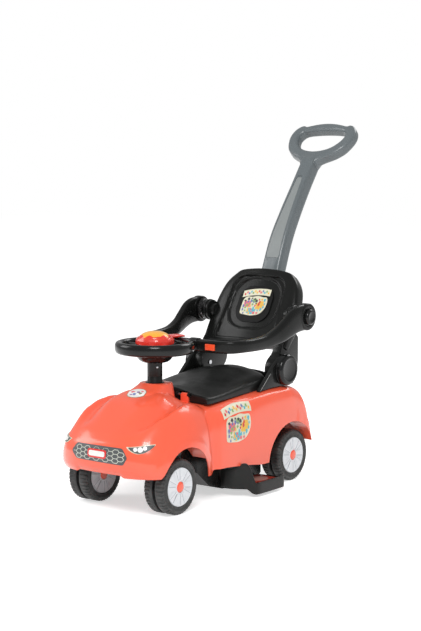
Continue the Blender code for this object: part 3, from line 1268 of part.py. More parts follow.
def guard():
    """Two arms on the backrest's pivots, meeting in the collar beside the steering wheel."""
    y, z = GUARD_PIVOT
    joint = GUARD_JOINT_X
    arms = (("left", 1, joint + RUNNING_GAP), ("right", -1, None))
    for name, side, stop in arms:
        if side > 0:
            rings = guard_sweep(1, stop)
        else:
            far = guard_sweep(-1, 0.004)[:-1]
            tail = [(0.020, GUARD_BAR_HALF), (joint - RUNNING_GAP, GUARD_BAR_HALF)]
            extra = []
            for x, (across, up) in tail:
                ring = superellipse_ring(across, up, 3.0, 10)
                extra.append([(x, GUARD_BAR[0] + a, GUARD_BAR[1] + b) for a, b in ring])
            rings = far + extra
        mesh = loft(rings)
        mesh.transform(Matrix.Translation((0, -y, -z)))
        arm = object_from("guard_arm_" + name, mesh, "black_plastic", (0, y, z))
        low, high = GUARD_DISC_X
        loop = [(0, 1), (GUARD_DISC_RADIUS - 0.003, 1), (GUARD_DISC_RADIUS, 0.8), (GUARD_DISC_RADIUS, 0.1)]
        loop += [(GUARD_DISC_RADIUS - 0.002, 0), (0, 0)]
        loop = [(radius, share * (high - low)) for radius, share in loop]
        disc = turned_part("arm_disc", [(loop, False)], None, (side * low, y, z), "X", side, 28)
        boolean(arm, disc, "UNION")
        if side > 0:
            low_corner = (BUTTON_X - 0.0147, GUARD_BAR[0] - 0.03, BUTTON_Z - 0.0082)
            pocket = block(low_corner, (BUTTON_X + 0.0147, BUTTON_FLOOR, BUTTON_Z + 0.0082))
            boolean(arm, object_from("button_pocket", pocket), "DIFFERENCE")
        else:
            collar = superellipse_ring(0.0130, 0.0180, 3.0, 16)
            rings = [
                [(x, GUARD_BAR[0] + a * s, GUARD_BAR[1] + b * s) for a, b in collar]
                for x, s in ((joint - 0.0260, 0.93), (joint - 0.0230, 1), (joint - 0.0020, 1), (joint - 0.0003, 0.95))
            ]
            boolean(arm, object_from("joint_collar", loft(rings)), "UNION")
        knob_loop = [
            (0, GUARD_KNOB_PROUD),
            (GUARD_KNOB_RADIUS - 0.0040, GUARD_KNOB_PROUD - 0.0010),
            (GUARD_KNOB_RADIUS, GUARD_KNOB_PROUD - 0.0045),
            (GUARD_KNOB_RADIUS, 0),
            (0, 0),
        ]
        origin = (side * (high + RUNNING_GAP), y, z)
        turned_part("guard_knob_" + name, [(knob_loop, False)], "black_plastic", origin, "X", side, 20)
        boss_low, boss_high = GUARD_BOSS_X
        depth = boss_high - boss_low
        boss_loop = [
            (0, depth),
            (GUARD_DISC_RADIUS - 0.0045, depth),
            (GUARD_DISC_RADIUS - 0.0045, depth - 0.010),
            (GUARD_DISC_RADIUS - 0.0080, depth - 0.011),
            (GUARD_DISC_RADIUS - 0.0080, 0.006),
            (GUARD_DISC_RADIUS - 0.0030, 0.005),
            (GUARD_DISC_RADIUS - 0.0030, 0),
            (0, 0),
        ]
        turned_part("guard_boss_" + name, [(boss_loop, False)], "black_plastic", (side * boss_low, y, z), "X", side, 20)
    button = block((-0.0140, -0.0025, -0.0075), (0.0140, 0.0025, 0.0075))
    part = object_from("release_button", button, "signal_orange", (BUTTON_X, BUTTON_FLOOR - 0.0030 - 0.0025, BUTTON_Z))
    add_bevel(part, 0.0008, 1)


BUTTON_X = 0.0830
BUTTON_Z = GUARD_BAR[1] - 0.001
BUTTON_FLOOR = GUARD_BAR[0] - 0.0025


# Push handle

HANDLE_FRONT = [(0.3180, 0.5050), (0.3580, 0.6000), (0.4020, 0.6720), (0.4540, 0.7450), HANDLE_TOP]
HANDLE_WIDTHS = [0.0560, 0.0530, 0.0470, 0.0410, 0.0380]


def handle_frames():
    """Centre, outward front direction and half width at stations up the curved shaft."""
    points = curve_through([(0, y, z) for y, z in HANDLE_FRONT], 3)
    widths = curve_through([(width, 0, 0) for width in HANDLE_WIDTHS], 3)
    frames = []
    for i, place in enumerate(points):
        ahead = (points[min(i + 1, len(points) - 1)] - points[max(i - 1, 0)]).normalized()
        outward = Vector((0, -ahead.z, ahead.y))
        frames.append((place, outward, widths[i].x / 2))
    return frames


GRIP_OUTLINE = [
    (0.0190, -0.030),
    (0.0250, -0.012),
    (0.0430, 0.008),
    (0.0680, 0.026),
    (0.0890, 0.050),
    (0.1000, 0.078),
    (0.1020, 0.100),
    (0.0960, 0.120),
    (0.0850, 0.132),
    (0.0740, 0.136),
    (0.0640, 0.133),
    (0.0480, 0.137),
    (0.0250, 0.142),
    (0.0000, 0.144),
]
GRIP_WINDOW = [
    (0.0000, 0.038),
    (0.0280, 0.042),
    (0.0500, 0.053),
    (0.0660, 0.072),
    (0.0720, 0.090),
    (0.0690, 0.104),
    (0.0590, 0.113),
    (0.0300, 0.117),
    (0.0000, 0.118),
]


def whole_outline(half):
    """Complete a half outline that starts or ends on the middle line."""
    other = [(-x, y) for x, y in reversed(half) if x > 1e-6]
    return half + other


def push_handle():
    """A curved shaft that plugs into the backrest and opens into a looped grip."""
    rings = []
    for place, outward, half in handle_frames():
        middle = place - outward * HANDLE_DEPTH / 2
        ring = superellipse_ring(half, HANDLE_DEPTH / 2, 5, 16)
        rings.append([middle + Vector((a, 0, 0)) + outward * b for a, b in ring])
    handle = object_from("push_handle", loft(rings), "handle_grey")
    low, high = HANDLE_STUB_V
    n_low, n_high = HANDLE_STUB_N
    gap = RUNNING_GAP
    trim = block((-0.05, low, -0.1), (0.05, BACK_LENGTH + gap, 0.02))
    trim.transform(BACK_FRAME)
    boolean(handle, object_from("shaft_trim", trim), "DIFFERENCE")
    stub = block((-HANDLE_STUB_X + gap, low + gap, n_low + gap), (HANDLE_STUB_X - gap, high + 0.012, n_high - gap))
    stub.transform(BACK_FRAME)
    boolean(handle, object_from("handle_stub", stub), "UNION")
    outline = whole_outline(GRIP_OUTLINE)
    window = whole_outline(GRIP_WINDOW)
    grip = outline_plate("grip", outline, GRIP_DEPTH, "XY", 0, None, [window])
    lean = Matrix(
        (
            (1, 0, 0, 0),
            (0, sin(GRIP_LEAN), -cos(GRIP_LEAN), GRIP_BASE[0]),
            (0, cos(GRIP_LEAN), sin(GRIP_LEAN), GRIP_BASE[1]),
            (0, 0, 0, 1),
        )
    )
    grip.data.transform(lean)
    add_bevel(grip, 0.0075, 2, 50)
    boolean(handle, grip, "UNION")
    label_rings = []
    plate_rings = []
    frames = handle_frames()[2:-2]
    for i, (place, outward, half) in enumerate(frames):
        taper = 0.0165 - 0.0100 * i / (len(frames) - 1)
        sizes = ((label_rings, -0.0014, 0.004, taper), (plate_rings, -0.0010, -0.0002, taper - 0.0004))
        for rings, low, high, width in sizes:
            corners = ((-width, low), (width, low), (width, high), (-width, high))
            rings.append([place + Vector((a, 0, 0)) + outward * b for a, b in corners])
    for end, inner in ((0, 1), (-1, -2)):
        pairs = zip(plate_rings[end], plate_rings[inner])
        plate_rings[end] = [point + (other - point).normalized() * 0.001 for point, other in pairs]
    boolean(handle, object_from("label_recess", loft(label_rings)), "DIFFERENCE")
    object_from("handle_label", loft(plate_rings), "label_grey")
    return handle


shell = body_shell()
hinge_lugs(shell)
column_bush()
steering_column()
steering_crank()
steering_wheel()
horn()
for wheel_name, wheel_side, wheel_y, in_front in (
    ("front_left", 1, FRONT_AXLE_Y, True),
    ("front_right", -1, FRONT_AXLE_Y, True),
    ("rear_left", 1, REAR_AXLE_Y, False),
    ("rear_right", -1, REAR_AXLE_Y, False),
):
    wheel(wheel_name, wheel_side, wheel_y, in_front)
for side_name, side_sign in (("left", 1), ("right", -1)):
    knuckle(side_name, side_sign)
    footrest(side_name, side_sign)
tie_plate()
chassis()
rear_axle()
seat_lid()
storage_bin()
backrest()
back_base()
back_bolts()
guard()
push_handle()
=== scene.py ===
"""Looks for the ride-on toy car: finer meshes, materials, floor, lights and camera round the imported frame.

Sizes are in metres and written in the car's own frame, from the middle of the wheelbase on the ground;
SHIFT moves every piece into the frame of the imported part.
"""

import bpy
import bmesh
from collections import namedtuple
from math import asin, atan2, ceil, cos, exp, hypot, pi, radians, sin, sqrt
from mathutils import Matrix, Vector
from mathutils.bvhtree import BVHTree


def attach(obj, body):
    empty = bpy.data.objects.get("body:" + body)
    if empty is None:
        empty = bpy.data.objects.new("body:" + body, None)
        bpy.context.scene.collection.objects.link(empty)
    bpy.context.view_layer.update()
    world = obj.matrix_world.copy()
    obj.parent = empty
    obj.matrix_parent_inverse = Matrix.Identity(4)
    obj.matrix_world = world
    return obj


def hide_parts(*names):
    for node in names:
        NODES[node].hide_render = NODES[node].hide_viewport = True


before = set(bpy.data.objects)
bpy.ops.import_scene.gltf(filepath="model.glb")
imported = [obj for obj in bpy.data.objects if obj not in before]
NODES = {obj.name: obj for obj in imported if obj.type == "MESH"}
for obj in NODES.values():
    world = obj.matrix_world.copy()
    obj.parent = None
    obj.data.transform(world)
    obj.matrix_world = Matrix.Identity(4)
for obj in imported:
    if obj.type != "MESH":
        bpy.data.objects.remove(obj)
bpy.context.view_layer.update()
SHIFT = -0.1334
GAP = 0.0003
WALL = 0.003

# Sizes repeated from the part

WHEEL_RADIUS = 0.065
HALF_WIDTH = 0.0295
WHEEL_X = 0.1155
FRONT_AXLE_Y = -0.229
REAR_AXLE_Y = 0.229
FRONT_ARCH = (-0.213, 0.065, 0.090)
REAR_ARCH = (0.208, 0.055, 0.100)
COLUMN_Y = -0.144
COLUMN_FOOT = (0, COLUMN_Y, 0)
HUMP_TOP = 0.283
DECK_TOP = 0.1583
RING_RADIUS, RING_Z = 0.0855, 0.367
SEAT_HINGE = (-0.0952, 0.2525)
BACK_LOW, BACK_TOP = (0.197, 0.345), (0.3004, 0.5301)
BACK_LEAN = atan2(BACK_TOP[0] - BACK_LOW[0], BACK_TOP[1] - BACK_LOW[1])
BACK_LENGTH = hypot(BACK_TOP[0] - BACK_LOW[0], BACK_TOP[1] - BACK_LOW[1])
BACK_HALF_WIDTH, BACK_SPLIT, BACK_DEPTH = 0.130, 0.029, 0.069
POST_X, CHEEK_X = (0.099, 0.125), (0.1255, 0.1358)
POST_CENTRE, POST_RADIUS = (0.2005, 0.285), 0.0350
DISC_RADIUS, DISC_THICK = 0.0360, 0.0172
GUARD_PIVOT = (0.246, 0.4165)
GUARD_BAR = (-0.0290, 0.3630)
GUARD_BOSS_X, GUARD_DISC_X = (0.1310, 0.1580), (0.1583, 0.1780)


# Node materials


def rgb(*display):
    """Turn display values from 0 to 255 into the linear colour that a shader takes."""
    shares = [value / 255 for value in display]
    return tuple(c / 12.92 if c <= 0.04045 else ((c + 0.055) / 1.055) ** 2.4 for c in shares)


class Nodes:
    """A short way to write a material's node tree."""

    def __init__(self, name):
        self.material = bpy.data.materials.new(name)
        self.material.use_nodes = True
        self.tree = self.material.node_tree
        self.shader = self.tree.nodes["Principled BSDF"]
        self.place = self.add("ShaderNodeTexCoord").outputs["Object"]

    def put(self, socket, value):
        """Link a socket to another node's output, or give it a plain value."""
        if isinstance(value, bpy.types.NodeSocket):
            self.tree.links.new(value, socket)
        else:
            socket.default_value = value

    def add(self, kind, inputs=None, **settings):
        node = self.tree.nodes.new(kind)
        for key, value in settings.items():
            setattr(node, key, value)
        for key, value in (inputs or {}).items():
            self.put(node.inputs[key], value)
        return node

    def noise(self, scale, detail):
        keys = {"Vector": self.place, "Scale": scale, "Detail": detail}
        return self.add("ShaderNodeTexNoise", keys).outputs["Fac"]

    def spread(self, value, low, high, out_low=0.0, out_high=1.0):
        keys = {"Value": value, "From Min": low, "From Max": high, "To Min": out_low, "To Max": out_high}
        return self.add("ShaderNodeMapRange", keys).outputs[0]

    def mix(self, factor, first, second):
        first = (*first, 1) if isinstance(first, tuple) else first
        second = (*second, 1) if isinstance(second, tuple) else second
        node = self.add("ShaderNodeMix", data_type="RGBA")
        for index, value in ((0, factor), (6, first), (7, second)):
            self.put(node.inputs[index], value)
        return node.outputs[2]

    def math(self, operation, first, second):
        node = self.add("ShaderNodeMath", operation=operation)
        for index, value in enumerate((first, second)):
            self.put(node.inputs[index], value)
        return node.outputs[0]

    def bump(self, height, distance):
        keys = {"Height": height, "Distance": distance, "Strength": 1.0}
        return self.add("ShaderNodeBump", keys).outputs[0]

    def link(self, socket, value):
        self.put(self.shader.inputs[socket], value)


def moulded(name, colour, rough, grain=0.00003, grain_scale=1400, tone=0.06, coat=0.0, wear=0.0, level=0.5):
    """Moulded plastic: slight colour drift, uneven gloss, a fine grain, and rubbed edges where asked."""
    m = Nodes(name)
    drift = m.spread(m.noise(9, 4), 0.3, 0.7)
    darker = tuple(c * (1 - tone) for c in colour)
    lighter = tuple(min(c * (1 + tone * 0.6) + 0.002, 1) for c in colour)
    base = m.mix(drift, darker, lighter)
    if wear:
        pointed = m.spread(m.add("ShaderNodeNewGeometry").outputs["Pointiness"], 0.53, 0.62)
        rubbed = m.math("MULTIPLY", pointed, m.spread(m.noise(60, 5), 0.35, 0.75))
        base = m.mix(m.math("MULTIPLY", rubbed, wear), base, tuple(c * 0.75 + 0.12 for c in colour))
    m.link("Base Color", base)
    m.link("Roughness", m.spread(m.noise(38, 5), 0.3, 0.7, rough * 0.88, min(rough * 1.12, 1)))
    m.link("Coat Weight", coat)
    m.link("Coat Roughness", 0.08)
    m.link("Specular IOR Level", level)
    m.link("Normal", m.bump(m.noise(grain_scale, 2), grain))
    return m.material


MATERIALS = {
    "coral": moulded("coral_plastic_look", rgb(255, 100, 70), 0.24, 0.000012, 900, 0.03, coat=0.35),
    "black": moulded("black_plastic_look", rgb(20, 21, 20), 0.24, 0.00004, 1500, 0.10, wear=0.10, level=0.22),
    "black_satin": moulded(
        "black_satin_look", rgb(24, 25, 24), 0.34, 0.00006, 1300, 0.10, wear=0.10, level=0.26
    ),
    "black_matt": moulded("back_pad_look", rgb(13, 13, 13), 0.55, 0.00010, 900, 0.10, level=0.2),
    "black_gloss": moulded(
        "black_gloss_look", rgb(17, 18, 18), 0.18, 0.00001, 1500, 0.10, coat=0.12, level=0.25
    ),
    "grey": moulded("handle_grey_look", rgb(102, 109, 112), 0.28, 0.00004, 1500, 0.06, wear=0.12),
    "grey_light": moulded("handle_label_look", rgb(136, 141, 141), 0.48, 0.00005, 1700, 0.04),
    "hub": moulded("hub_grey_look", rgb(226, 230, 234), 0.30, 0.00001, 1200, 0.03, coat=0.2),
    "orange": moulded("signal_orange_look", rgb(246, 84, 42), 0.34, 0.00002, 1200, 0.04),
    "red": moulded("horn_red_look", rgb(232, 56, 44), 0.26, 0.00001, 1100, 0.05, coat=0.4),
    "yellow": moulded("horn_yellow_look", rgb(250, 176, 52), 0.26, 0.00001, 1100, 0.06, coat=0.4),
    "pad": moulded("foot_pad_look", rgb(150, 44, 30), 0.30, 0.00003, 900, 0.10, coat=0.2),
    "white": moulded("white_print_look", rgb(240, 240, 236), 0.30, 0.00001, 1200, 0.02, coat=0.3),
    "cream": moulded("cream_print_look", rgb(226, 222, 196), 0.30, 0.00001, 1200, 0.03, coat=0.3),
    "net_pale": moulded("grille_net_look", rgb(206, 210, 198), 0.30, 0.00001, 1200, 0.03, coat=0.3),
    "grille_dark": moulded("grille_print_look", rgb(84, 87, 88), 0.40, 0.00001, 1200, 0.05),
    "badge_red": moulded("badge_red_look", rgb(226, 46, 44), 0.30, 0.00001, 1200, 0.04, coat=0.3),
    # Grey for painted shade in the hubcaps' grooves, which are the hub's pale grey.
    "line_grey": moulded("hub_groove_shade_look", rgb(150, 155, 162), 0.40, 0.00001, 1200, 0.05),
    # Light grey for a painted highlight along the cheeks' front edges, which are black plastic.
    "edge_light": moulded("painted_cheek_highlight_look", rgb(172, 174, 172), 0.40, 0.00001, 1200, 0.05),
    # Pale red for a painted highlight on the foot pads, which are red plastic.
    "oval_grey": moulded("foot_pad_highlight_look", rgb(168, 118, 108), 0.35, 0.00001, 1200, 0.05),
}
PRINT_COLOURS = {
    "cyan": (86, 186, 204),
    "pink": (232, 110, 120),
    "red": (214, 52, 56),
    "blue": (106, 122, 176),
    "yellow": (240, 190, 74),
    "green": (140, 176, 110),
    "purple": (150, 112, 170),
    "olive": (150, 142, 110),
    "dark": (60, 56, 66),
}
for ink, display in PRINT_COLOURS.items():
    MATERIALS["print_" + ink] = moulded("print_%s_look" % ink, rgb(*display), 0.35, 0.00001, 1200, 0.10)


def tyre_material():
    """Hard black foam: a fine speckle and a dusty tone."""
    m = Nodes("tyre_black_look")
    dust = m.spread(m.noise(70, 6), 0.35, 0.75)
    m.link("Base Color", m.mix(dust, rgb(44, 45, 45), rgb(72, 73, 72)))
    m.link("Roughness", m.spread(m.noise(120, 4), 0.3, 0.7, 0.42, 0.60))
    m.link("Normal", m.bump(m.noise(1900, 3), 0.00012))
    return m.material


def steel_material():
    """Zinc-plated steel with fine scratches."""
    m = Nodes("steel_look")
    m.link("Base Color", m.mix(m.spread(m.noise(90, 4), 0.3, 0.7), rgb(170, 172, 176), rgb(205, 206, 208)))
    m.link("Metallic", 1.0)
    m.link("Roughness", m.spread(m.noise(240, 4), 0.3, 0.7, 0.24, 0.42))
    m.link("Normal", m.bump(m.noise(2200, 2), 0.00001))
    return m.material


MATERIALS["tyre"] = tyre_material()
MATERIALS["steel"] = steel_material()

SLOTS = {
    "coral": "coral_plastic",
    "black": "black_plastic",
    "black_satin": "black_plastic",
    "black_gloss": "black_plastic",
    "grey": "handle_grey",
    "grey_light": "label_grey",
    "hub": "hub_grey",
    "orange": "signal_orange",
    "red": "horn_red",
    "yellow": "horn_yellow",
    "pad": "foot_pad_red",
    "tyre": "tyre_black",
    "steel": "steel",
}


# Mesh helpers


def mesh_of(source, name="shape"):
    """A mesh from a bmesh, which is freed, or the mesh itself."""
    if isinstance(source, bmesh.types.BMesh):
        made = bpy.data.meshes.new(name)
        source.to_mesh(made)
        source.free()
        return made
    return source


def temporary(source):
    """A helper object that is removed again once its shape has been used."""
    helper = bpy.data.objects.new("shape", mesh_of(source))
    bpy.context.scene.collection.objects.link(helper)
    return helper


def applied(helper):
    """The mesh of an object with its modifiers and place applied; the object goes."""
    graph = bpy.context.evaluated_depsgraph_get()
    made = bpy.data.meshes.new_from_object(helper.evaluated_get(graph))
    made.transform(helper.matrix_world)
    bpy.data.objects.remove(helper, do_unlink=True)
    return made


class Steps(list):
    """Boolean steps for combined(), in the order in which they are taken."""

    def union(self, tool):
        self.append(("UNION", tool))

    def cut(self, tool):
        self.append(("DIFFERENCE", tool))


def combined(target, steps):
    """Run boolean steps of (operation, shape) on a shape, one after another."""
    for operation, tool in steps:
        body = temporary(target)
        cutter = temporary(tool)
        step = body.modifiers.new("step", "BOOLEAN")
        step.operation = operation
        step.object = cutter
        step.solver = "MANIFOLD"
        target = applied(body)
        bpy.data.objects.remove(cutter, do_unlink=True)
    return target


def bevelled(source, width, segments=3):
    """Round the sharp edges of a mesh."""
    helper = temporary(source)
    step = helper.modifiers.new("round", "BEVEL")
    step.width = width
    step.segments = segments
    step.limit_method = "ANGLE"
    step.angle_limit = radians(32)
    return applied(helper)


def joined(meshes):
    """Several meshes as one, each keeping its own closed surface."""
    whole = bmesh.new()
    for mesh in meshes:
        whole.from_mesh(mesh_of(mesh))
    return whole


def piece(name, source, look, body, replaces=(), slot=None, crease=32):
    """Put a finished mesh into the scene as a piece that rides on a body of the frame."""
    mesh = mesh_of(source, name)
    mesh.transform(Matrix.Translation((0, SHIFT, 0)))
    mesh.validate()
    mesh.shade_smooth()
    mesh.set_sharp_from_angle(angle=radians(crease))
    made = bpy.data.objects.new(name, mesh)
    bpy.context.scene.collection.objects.link(made)
    mesh.materials.clear()
    mesh.materials.append(MATERIALS[look])
    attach(made, body)
    if replaces:
        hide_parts(*replaces)
    slot = slot or SLOTS.get(look)
    return made


def block(low, high):
    """A box between two corners."""
    box = bmesh.new()
    size = Vector(high) - Vector(low)
    middle = (Vector(high) + Vector(low)) / 2
    bmesh.ops.create_cube(box, size=1, matrix=Matrix.Translation(middle) @ Matrix.Diagonal((*size, 1)))
    return box


AXIS_TURN = {"X": Matrix.Rotation(pi / 2, 4, "Y"), "Y": Matrix.Rotation(-pi / 2, 4, "X"), "Z": Matrix()}


def rod(radius, start, end, axis="Z", centre=(0, 0), sides=48):
    """A cylinder along an axis, from start to end."""
    middle = (start + end) / 2
    places = {"X": (middle, *centre), "Y": (centre[0], middle, centre[1]), "Z": (*centre, middle)}
    place = Matrix.Translation(places[axis]) @ AXIS_TURN[axis]
    made = bmesh.new()
    bmesh.ops.create_cone(
        made, cap_ends=True, segments=sides, radius1=radius, radius2=radius, depth=abs(
            end - start
        ), matrix=place
    )
    return made


def turned(profile, count=64, closed=False, shape=None, axis="Z", outward=1, origin=(0, 0, 0)):
    """Turn a (radius, height) profile; shape may move a point by its turn angle and its number."""
    made = bmesh.new()
    rings = []
    for j, (radius, height) in enumerate(profile):
        if radius < 1e-7:
            rings.append([made.verts.new((0, 0, height))])
            continue
        ring = []
        for i in range(count):
            turn = 2 * pi * i / count
            r, h = (radius, height) if shape is None else shape(radius, height, turn, j)
            ring.append(made.verts.new((r * cos(turn), r * sin(turn), h)))
        rings.append(ring)
    pairs = list(zip(rings, rings[1:]))
    if closed:
        pairs.append((rings[-1], rings[0]))
    for first, second in pairs:
        if len(first) == 1 and len(second) == 1:
            continue
        for i in range(count):
            k = (i + 1) % count
            if len(first) == 1:
                made.faces.new((first[0], second[k], second[i]))
            elif len(second) == 1:
                made.faces.new((first[i], first[k], second[0]))
            else:
                made.faces.new((first[i], first[k], second[k], second[i]))
    bmesh.ops.recalc_face_normals(made, faces=made.faces)
    if axis == "X":
        made.transform(Matrix.Rotation(outward * pi / 2, 4, "Y"))
    made.transform(Matrix.Translation(origin))
    return made


def rounded_profile(corners, radius, steps):
    """Replace each corner of a closed outline by a short curve."""
    count = len(corners)
    result = []
    for i, corner in enumerate(corners):
        before, after = Vector(corners[i - 1]), Vector(corners[(i + 1) % count])
        place = Vector(corner)
        near = min(radius, (before - place).length * 0.45)
        far = min(radius, (after - place).length * 0.45)
        start = place + (before - place).normalized() * near
        end = place + (after - place).normalized() * far
        for k in range(steps + 1):
            t = k / steps
            point = start * (1 - t) ** 2 + place * 2 * t * (1 - t) + end * t * t
            result.append((point.x, point.y))
    return result


def filled(outline, holes=(), reach=0.0, bevel=0.0, steps=4):
    """The filled shape of an outline in its own plane; reach extrudes it both ways."""
    curve = bpy.data.curves.new("outline", "CURVE")
    curve.dimensions = "2D"
    curve.fill_mode = "BOTH"
    curve.extrude = reach
    curve.bevel_depth = bevel
    curve.bevel_resolution = steps
    curve.offset = -bevel
    for points in (outline, *holes):
        spline = curve.splines.new("POLY")
        spline.points.add(len(points) - 1)
        for point, (first, second) in zip(spline.points, points):
            point.co = (first, second, 0, 1)
        spline.use_cyclic_u = True
    flat = bpy.data.objects.new("outline", curve)
    bpy.context.scene.collection.objects.link(flat)
    made = bmesh.new()
    made.from_mesh(applied(flat))
    return made


PLANES = {
    "XY": (Matrix(), Vector((0, 0, 1))),
    "YZ": (Matrix(((0, 0, 1, 0), (1, 0, 0, 0), (0, 1, 0, 0), (0, 0, 0, 1))), Vector((1, 0, 0))),
    "XZ": (Matrix(((1, 0, 0, 0), (0, 0, -1, 0), (0, 1, 0, 0), (0, 0, 0, 1))), Vector((0, 1, 0))),
}


def plate(outline, thickness, plane, offset, holes=(), bevel=0.0, steps=2):
    """A flat outline extruded to a plate with rounded edges; offset is its middle plane."""
    made = filled(outline, holes, thickness / 2 - bevel, bevel, steps)
    bmesh.ops.remove_doubles(made, verts=made.verts, dist=0.00001)
    turn, out = PLANES[plane]
    made.transform(Matrix.Translation(out * offset) @ turn)
    bmesh.ops.recalc_face_normals(made, faces=made.faces)
    return made


def leaning(lean, y, z):
    """The frame of a leaning plane: across, up its slope, and out of its front."""
    return Matrix(((1, 0, 0, 0), (0, sin(lean), -cos(lean), y), (0, cos(lean), sin(lean), z), (0, 0, 0, 1)))


def arc(centre, radius, start, end, count):
    """Points on an arc between two angles in degrees."""
    steps = [radians(start + (end - start) * i / (count - 1)) for i in range(count)]
    return [(centre[0] + radius * cos(t), centre[1] + radius * sin(t)) for t in steps]


def rounded_box_outline(low, high, radius, count=9):
    corners = (
        ((high[0] - radius, low[1] + radius), -90),
        ((high[0] - radius, high[1] - radius), 0),
        ((low[0] + radius, high[1] - radius), 90),
        ((low[0] + radius, low[1] + radius), 180),
    )
    points = []
    for centre, start in corners:
        points += arc(centre, radius, start, start + 90, count)
    return points


def smooth(value):
    """An eased share between 0 and 1."""
    value = min(max(value, 0), 1)
    return value * value * (3 - 2 * value)


def along(rail, place):
    """Read a rail of (place, value) points with straight stretches between them."""
    if place <= rail[0][0]:
        return rail[0][1]
    for (low, first), (high, second) in zip(rail, rail[1:]):
        if place <= high:
            return first + (second - first) * (place - low) / (high - low)
    return rail[-1][1]


def eased(values, u):
    """A curve through values at whole steps of u that never overshoots them."""
    count = len(values)
    i = min(max(int(u), 0), count - 2)
    t = u - i

    def slope(k):
        if k <= 0 or k >= count - 1:
            return 0.0 if count < 3 else (values[1] - values[0] if k <= 0 else values[-1] - values[-2])
        before, after = values[k] - values[k - 1], values[k + 1] - values[k]
        return 0.0 if before * after <= 0 else 2 * before * after / (before + after)

    first, second = slope(i), slope(i + 1)
    a, b = values[i], values[i + 1]
    return (
        a * (2 * t**3 - 3 * t**2 + 1)
        + first * (t**3 - 2 * t**2 + t)
        + b * (-2 * t**3 + 3 * t**2)
        + second * (t**3 - t**2)
    )


def between(before, first, second, after, share):
    """A point on the smooth curve from first to second; the outer points set its slopes."""
    blend = 2 * first + (second - before) * share
    blend += (2 * before - 5 * first + 4 * second - after) * share * share
    blend += (3 * first - before - 3 * second + after) * share**3
    return blend / 2


def curve_through(points, steps):
    """A smooth curve through given points, as a longer list of points."""
    ends = [2 * Vector(points[0]) - Vector(points[1])] + [Vector(p) for p in points]
    ends.append(2 * Vector(points[-1]) - Vector(points[-2]))
    result = []
    for i in range(1, len(ends) - 2):
        result += [between(*ends[i - 1 : i + 3], step / steps) for step in range(steps)]
    result.append(ends[-2])
    return result


def superellipse_ring(half_a, half_b, power, count):
    """Points round an oval whose power makes it boxier."""
    ring = []
    for i in range(count):
        turn = 2 * pi * (i + 0.5) / count
        a, b = cos(turn), sin(turn)
        scale = (abs(a) ** power + abs(b) ** power) ** (-1 / power)
        ring.append((half_a * a * scale, half_b * b * scale))
    return ring


def loft(rings):
    """A closed skin over rings of points, with flat ends."""
    skin = bmesh.new()
    rows = [[skin.verts.new(point) for point in ring] for ring in rings]
    for near, far in zip(rows, rows[1:]):
        for j in range(len(near)):
            k = (j + 1) % len(near)
            skin.faces.new((near[j], near[k], far[k], far[j]))
    skin.faces.new(list(reversed(rows[0])))
    skin.faces.new(rows[-1])
    bmesh.ops.recalc_face_normals(skin, faces=skin.faces)
    return skin


Station = namedtuple("Station", "y_mid y_side half_width z_low z_mid z_side boxiness")
BOW_POWER = 2.5
SHOULDER_SHARE = 0.76


def denser(stations, spacing):
    """More stations between the given ones, along an eased curve through each value."""
    columns = [[getattr(s, field) for s in stations] for field in Station._fields]
    result = []
    for i in range(len(stations) - 1):
        a, b = stations[i], stations[i + 1]
        reach = max(abs(b.y_mid - a.y_mid), abs(b.z_mid - a.z_mid), abs(b.z_side - a.z_side))
        steps = max(2, ceil(reach / spacing))
        for k in range(steps):
            result.append(Station(*[eased(column, i + k / steps) for column in columns]))
    result.append(stations[-1])
    return result


def station_point(station, angle, relief=None):
    side = sin(angle) ** (2 / station.boxiness)
    drop = max(cos(angle), 0) ** (2 / station.boxiness) if angle < pi / 2 - 1e-6 else 0
    bow = 1 - max(1 - side**BOW_POWER, 0) ** (1 / BOW_POWER)
    x = station.half_width * side
    y = station.y_mid + (station.y_side - station.y_mid) * bow
    roof = station.z_mid + (station.z_side - station.z_mid) * smooth(side / SHOULDER_SHARE)
    if relief is not None:
        roof += relief(x, y)
    return Vector((x, y, station.z_low + (roof - station.z_low) * drop))


def section_angles(boxiness, shares, walls):
    crown = [asin(share ** (boxiness / 2)) for share in shares]
    last = crown[-1]
    return crown + [last + (pi / 2 - last) * share for share in walls]


def draped_half(stations, relief=None, closed=False, shares=None, walls=None, moved=None):
    """The left half of a sheet draped over its stations; closed adds a flat underside."""
    shares = shares or [0.90 * i / 34 for i in range(35)]
    walls = walls or [(i + 1) / 18 for i in range(18)]
    sheet = bmesh.new()
    rows = []
    for station in stations:
        angles = section_angles(station.boxiness, shares, walls)
        points = [station_point(station, angle, relief) for angle in angles]
        if moved is not None:
            points = [moved(point) for point in points]
        rows.append([sheet.verts.new(point) for point in points])
    for near, far in zip(rows, rows[1:]):
        for j in range(len(near) - 1):
            sheet.faces.new((near[j], near[j + 1], far[j + 1], far[j]))
    if closed:
        low = [sheet.verts.new((0, row[-1].co.y, station.z_low)) for row, station in zip(rows, stations)]
        ends = []
        for row, station in ((rows[0], stations[0]), (rows[-1], stations[-1])):
            ends.append([sheet.verts.new((v.co.x, v.co.y, station.z_low)) for v in row[1:-1]] + [row[-1]])
        low[0].co.y = rows[0][0].co.y
        low[-1].co.y = rows[-1][0].co.y
        first = [low[0]] + ends[0]
        last = [low[-1]] + ends[1]
        for j in range(len(first) - 1):
            near = [rows[0][j + 1], rows[0][j], first[j], first[j + 1]]
            far = [rows[-1][j], rows[-1][j + 1], last[j + 1], last[j]]
            sheet.faces.new(list(dict.fromkeys(near)))
            sheet.faces.new(list(dict.fromkeys(far)))
        for i in range(len(rows) - 1):
            inner = list(reversed(first)) if i == 0 else [rows[i][-1], low[i]]
            outer = last if i == len(rows) - 2 else [low[i + 1], rows[i + 1][-1]]
            sheet.faces.new(inner + outer)
    return sheet


